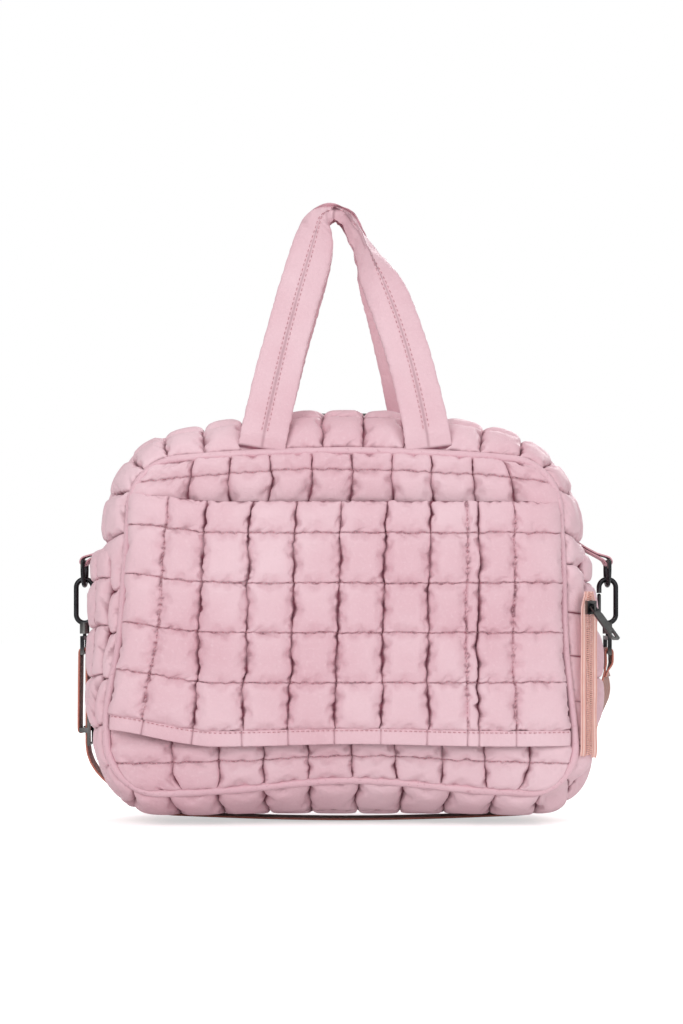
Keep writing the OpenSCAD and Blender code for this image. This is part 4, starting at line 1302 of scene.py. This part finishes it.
def nylon(name, light, mid, seam):
    """Downproof nylon: satin, finely woven, a little crinkled, with painted shade in the grooves and folds of
    its stitched seams.
    """
    f = Finish(name)
    place = f.place()
    patch = f.noise(place, 9, 3)
    grain = f.noise(f.cloth(), 420, 2)
    crinkle = f.noise(place, 130, 6, 0.62)
    colour = f.between(patch, srgb(mid), srgb(light), 0.32, 0.68)
    colour = f.between(grain, colour, srgb(light), 0.55, 0.95)
    # Painted shade: seam and #8a4656 are the colours of the shade painted into the grooves and folds.
    dark = f.between(f.noise(f.cloth(), 160, 3), srgb(seam), srgb("#8a4656"), 0.4, 0.7)
    colour = f.between(f.value("crease"), colour, dark, 0.08, 0.85)
    f.set(Base_Color=colour, Roughness=f.level(crinkle, 0.42, 0.58, 0.3, 0.7), Sheen_Weight=0.12)
    f.set(Sheen_Roughness=0.4, Sheen_Tint=srgb("#f6dfe4"), Specular_IOR_Level=0.42)
    swell = f.noise(place, 52, 4, 0.55)
    fine = f.noise(f.cloth(1.0, 2.2), 300, 4)
    f.bump((swell, 1.6), (crinkle, 0.6), (fine, 0.16), (plain_weave(f, 0.5), 0.035))
    return f.material


def piping_cloth():
    f = Finish("piping_cloth")
    place = f.place()
    gather = f.noise(place, 330, 4, 0.6)
    colour = f.between(f.noise(place, 14, 3), srgb("#dcb0bb"), srgb("#e3bcc5"), 0.3, 0.7)
    # Painted shade: the cord's cloth is darker in the valleys of its gathers.
    colour = f.between(gather, srgb("#c795a1"), colour, 0.22, 0.42)
    f.set(Base_Color=colour, Roughness=0.5, Sheen_Weight=0.2)
    f.bump((gather, 0.5), (f.noise(place, 900, 2), 0.08))
    return f.material


def thread(name, code):
    f = Finish(name)
    twist = f.wave(f.place(), 300, "DIAGONAL", 1.5)
    f.set(Base_Color=f.between(twist, srgb(code), srgb("#f0cdd3"), 0.2, 1.6), Roughness=0.6, Sheen_Weight=0.3)
    f.bump((twist, 0.1))
    return f.material


def strap_cloth(name, face, edge, half_w):
    """Ribbed webbing with a brighter edge."""
    f = Finish(name)
    at = f.cloth()
    across = f.node("SeparateXYZ", {"Vector": at}).outputs["X"]
    near_edge = f.math("ABSOLUTE", across)
    ribs = f.wave(at, 55, "Y", 0.6)
    herring = f.wave(at, 90, "DIAGONAL", 0.4)
    worn = f.noise(f.place(), 45, 5)
    colour = f.between(worn, srgb(face), srgb(edge), 0.35, 1.1)
    colour = f.between(herring, colour, srgb(face), 0.1, 0.9)
    colour = f.between(near_edge, colour, srgb(edge), (half_w - 3.2) * MM, (half_w - 1.2) * MM)
    f.set(Base_Color=colour, Roughness=0.72, Sheen_Weight=0.25, Sheen_Roughness=0.5)
    f.bump((ribs, 0.22), (herring, 0.12), (f.noise(at, 900, 3), 0.08))
    return f.material


def zip_cloth():
    """Knitted tape with two darker stripes beside the chain."""
    f = Finish("zip_tape_cloth")
    at = f.cloth()
    across = f.math("ABSOLUTE", f.node("SeparateXYZ", {"Vector": at}).outputs["X"])
    stripe = f.level(f.math("ABSOLUTE", f.math("SUBTRACT", across, 1.7 * MM)), 1, 0, 0.35 * MM, 0.75 * MM)
    rim = f.level(across, 0, 1, 2.8 * MM, 3.2 * MM)
    # Painted shade: paler and darker patches stand for the tape's soft folds.
    fold = f.noise(at, 60, 3)
    colour = f.between(fold, srgb("#eabdb6"), srgb("#f2ccc3"), 0.3, 0.7)
    colour = f.between(f.math("MAXIMUM", stripe, rim), colour, srgb("#db968a"), 0.1, 1.0)
    f.set(Base_Color=colour, Roughness=0.7, Sheen_Weight=0.2)
    f.bump((f.wave(at, 85, "Y", 0.3), 0.12), (f.wave(at, 110, "X"), 0.08))
    return f.material


def mottled(name, grain, dark, light, depth, **look):
    """Two colours mixed by a noise of grain (scale, detail, roughness), which also dents the surface."""
    f = Finish(name)
    mottle = f.noise(f.place(), *grain)
    f.set(Base_Color=f.between(mottle, srgb(dark), srgb(light), 0.3, 0.7), **look)
    f.bump((mottle, depth))
    return f.material


def zip_teeth():
    glow = {"Subsurface_Weight": 0.05, "Subsurface_Radius": (0.001, 0.0006, 0.0005)}
    return mottled("zip_teeth", (500, 2), "#e3aa9e", "#efc0b4", 0.05, Roughness=0.34, **glow)


def gunmetal():
    """Black-nickel plated zinc: dark, brushed by handling, paler on its edges."""
    f = Finish("gunmetal_plate")
    place = f.place()
    edge = f.node("NewGeometry").outputs["Pointiness"]
    smear = f.noise(place, 90, 5, 0.65)
    fine = f.noise(f.node("Mapping", {"Vector": place, "Scale": (1, 1, 6)}).outputs["Vector"], 700, 3)
    colour = f.between(smear, srgb("#2a2a2c"), srgb("#414144"), 0.3, 0.7)
    colour = f.between(edge, colour, srgb("#8b8a88"), 0.54, 0.66)
    f.set(Base_Color=colour, Metallic=1.0, Roughness=f.level(smear, 0.22, 0.42, 0.3, 0.7))
    f.bump((fine, 0.02), (smear, 0.03))
    return f.material


def steel():
    return mottled("spring_wire", (1200, 3), "#8f9093", "#c4c5c7", 0.02, Metallic=1.0, Roughness=0.28)


def inner_cloth():
    f = Finish("lining_weave")
    place = f.place()
    weave = f.math("MULTIPLY", f.wave(place, 380, "X"), f.wave(place, 380, "Z"))
    colour = f.between(f.noise(place, 20, 3), srgb("#cfc6c6"), srgb("#e0d9d8"), 0.3, 0.7)
    f.set(Base_Color=f.between(weave, srgb("#b9afaf"), colour, 0.0, 0.5), Roughness=0.8, Sheen_Weight=0.2)
    f.bump((weave, 0.12), (f.noise(place, 60, 4), 0.4))
    return f.material


def board():
    return mottled("board_fibre", (260, 5, 0.7), "#c9bfae", "#ece7dc", 0.1, Roughness=0.85)


# ---------------------------------------------------------------- putting the bag together


def dress(piece, material, slot, body, *nodes):
    """Gives a piece its material and its body, and hides the CAD nodes it stands for.
    slot is not used.
    """
    piece.data.materials.clear()
    piece.data.materials.append(material)
    if body:
        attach(piece, body)
    if nodes:
        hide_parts(*nodes)


def seam_rows(q, depth_limit, along_rows):
    """Thread paths in a quilt's seams that are no deeper than depth_limit."""
    paths = []
    lines, edges = (q.rows, q.v_edge) if along_rows else (q.cols, q.u_edge)
    for k in range(1, len(lines) - 1):
        if lines[k, 2] <= depth_limit:
            index = 2 * edges[k]
            if along_rows:
                paths.append((q.skin[2:-2, index], q.skin_out[2:-2, index]))
            else:
                paths.append((q.skin[index, 2:-2], q.skin_out[index, 2:-2]))
    return paths


QUILT_NODES = {
    "front_panel": "front_panel", "rear_panel": "rear_panel", "sleeve": "front_sleeve",
    "top_front": "top_gusset_front", "top_rear": "top_gusset_rear", "base": "lower_gusset",
    "left_pocket": "left_bottle_pocket", "right_pocket": "right_zip_pocket",
    "left_strip": "left_shoulder_strip", "right_strip": "right_shoulder_strip",
}
QUILT_BACK = {"sleeve": 2.5, "left_pocket": 1.2, "right_pocket": 1.2, "base": 3.0}


def build_body(pink, sewing):
    quilts = make_quilts()
    simulate(list(quilts.values()))
    rows = []
    for key, q in quilts.items():
        piece = quilt_piece(q, QUILT_BACK.get(key, 3.5))
        dress(piece, pink, "quilted_nylon", "bag", QUILT_NODES[key])
        rows += seam_rows(q, 0.8, True) + seam_rows(q, 0.8, False)
    dress(stitches("quilting_thread", rows, 2.2, 1.6, 0.32, 0.1), sewing, "piping_trim", "bag")


def build_trim(cloth, pink, sewing):
    dress(piping("front_piping_cord", -SEAM_Y, 61), cloth, "piping_trim", "bag", "front_piping")
    dress(piping("rear_piping_cord", SEAM_Y, 62), cloth, "piping_trim", "bag", "rear_piping")
    band, seam = hem_band("sleeve_hem_binding")
    dress(band, pink, "piping_trim", "bag", "sleeve_hem")
    dress(gathered_edge("left_pocket_gathered_top"), pink, "piping_trim", "bag", "left_pocket_elastic")
    dress(stitches("hem_stitching", [seam], 2.6, 1.4, 0.35, 0.4), sewing, "piping_trim", "bag")


def build_handles(pink, sewing):
    for name, side, seed in (("front", -1, 101), ("rear", 1, 131)):
        piece, rows = handle(f"{name}_padded_handle", side, seed)
        dress(piece, pink, "quilted_nylon", None, f"{name}_handle")
        seam = stitches(f"{name}_handle_stitching", rows, 3.0, 1.6, 0.34, 0.15)
        dress(seam, sewing, "piping_trim", None)
        for part in (piece, seam):
            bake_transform(part)


def build_strap(web, tab_web):
    dress(strap(), web, "strap_webbing", "strap", "strap_webbing")
    loop = length_loop()
    dress(loop, web, "strap_webbing", "strap", "strap_length_loop")
    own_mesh(loop)
    for name, side in (("left", -1), ("right", 1)):
        tab = ring_tab(f"{name}_ring_webbing_tab", side)
        dress(tab, tab_web, "piping_trim", "bag", f"{name}_ring_tab")


def build_zips(tape_cloth, teeth):
    tape, chain = side_zip()
    dress(tape, tape_cloth, "zip_tape", "bag", "side_zip_tapes")
    dress(chain, teeth, "zip_coil", "bag", "side_zip_coil")
    front, rear, chain = top_zip()
    dress(front, tape_cloth, "zip_tape", "bag", "top_zip_tape_front")
    dress(rear, tape_cloth, "zip_tape", "bag", "top_zip_tape_rear")
    dress(chain, teeth, "zip_coil", "bag", "top_zip_coil")


def finish_metal_and_inside(metal, wire, cloth, fibre):
    """The CAD's own pieces that stay in view take these materials."""
    special = {"spring": wire, "lining": cloth, "inner": cloth, "stiffener": fibre}
    for node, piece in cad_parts.items():
        if not piece.hide_render:
            found = [special[word] for word in special if word in node]
            for place in piece.material_slots:
                place.material = found[0] if found else metal


# ---------------------------------------------------------------- studio


def soft_light(name, place, aim, size, energy):
    lamp = bpy.data.lights.new(name, "AREA")
    lamp.shape = "DISK"
    lamp.size = size
    lamp.energy = energy
    holder = bpy.data.objects.new(name, lamp)
    bpy.context.scene.collection.objects.link(holder)
    holder.location = place
    look = mathutils.Vector(aim) - mathutils.Vector(place)
    holder.rotation_euler = look.to_track_quat("-Z", "Y").to_euler()


def white_room(strength):
    """Even light from all round; what the camera sees of it is plain white."""
    world = bpy.data.worlds.new("studio")
    world.use_nodes = True
    tree = world.node_tree
    seen = tree.nodes.new("ShaderNodeLightPath").outputs["Is Camera Ray"]
    level = tree.nodes.new("ShaderNodeMapRange")
    level.inputs["To Min"].default_value = strength
    level.inputs["To Max"].default_value = 1.0
    tree.links.new(seen, level.inputs["Value"])
    tree.links.new(level.outputs[0], tree.nodes["Background"].inputs["Strength"])
    tree.nodes["Background"].inputs["Color"].default_value = (1, 1, 1, 1)
    return world


def studio():
    """A white paper floor, four soft lights and an even white room."""
    floor_z = STRAP_DIP - STRAP_T
    side = 9000.0
    corners = [[-side, -side, floor_z], [side, -side, floor_z], [side, side, floor_z], [-side, side, floor_z]]
    floor = new_mesh("studio_floor", corners, [[0, 1, 2, 3]], closed=False)
    paper = Finish("studio_paper")
    paper.set(Base_Color=(0.96, 0.96, 0.96, 1), Roughness=0.95, Specular_IOR_Level=0.1)
    paper.bump((paper.noise(paper.place(), 300, 2), 0.02))
    seen = paper.node("LightPath").outputs["Is Camera Ray"]
    paper.set(Emission_Color=(1, 1, 1, 1), Emission_Strength=paper.level(seen, 0, 0.55))
    floor.data.materials.append(paper.material)
    middle = (0, 0, 0.2)
    soft_light("key", (-0.8, -2.4, 1.3), middle, 1.5, 25)
    soft_light("fill", (1.5, -1.9, 0.8), middle, 1.6, 8)
    soft_light("top", (0.1, 0.1, 2.4), middle, 1.8, 13)
    soft_light("back", (0.9, 2.2, 1.2), middle, 1.6, 20)
    bpy.context.scene.world = white_room(0.5)
    bpy.context.scene.view_settings.view_transform = "Standard"


def camera():
    """Level with the lower part of the bag, square on to its front, with a rising lens shift."""
    lens = bpy.data.cameras.new("camera")
    lens.lens = 84
    lens.sensor_width = 36
    lens.shift_x = -0.0044
    lens.shift_y = 0.0908
    holder = bpy.data.objects.new("camera", lens)
    bpy.context.scene.collection.objects.link(holder)
    holder.location = (0, -2.002, 0.172)
    holder.rotation_euler = (math.pi / 2, 0, 0)
    bpy.context.scene.camera = holder


def build():
    # 64283a is the dark maroon of the painted shade in the seams' grooves and folds.
    pink = nylon("pink_quilted_nylon", "#e8c6ce", "#dcb0ba", "#64283a")
    trim = piping_cloth()
    sewing = thread("sewing_thread", "#b8707c")
    build_body(pink, sewing)
    build_trim(trim, pink, sewing)
    build_handles(pink, sewing)
    web = strap_cloth("coral_webbing", "#9c6a5e", "#c9806f", STRAP_HALF)
    build_strap(web, strap_cloth("ring_tab_webbing", "#cf9aa5", "#d9a5ae", 12))
    build_zips(zip_cloth(), zip_teeth())
    finish_metal_and_inside(gunmetal(), steel(), inner_cloth(), board())
    studio()
    camera()


build()
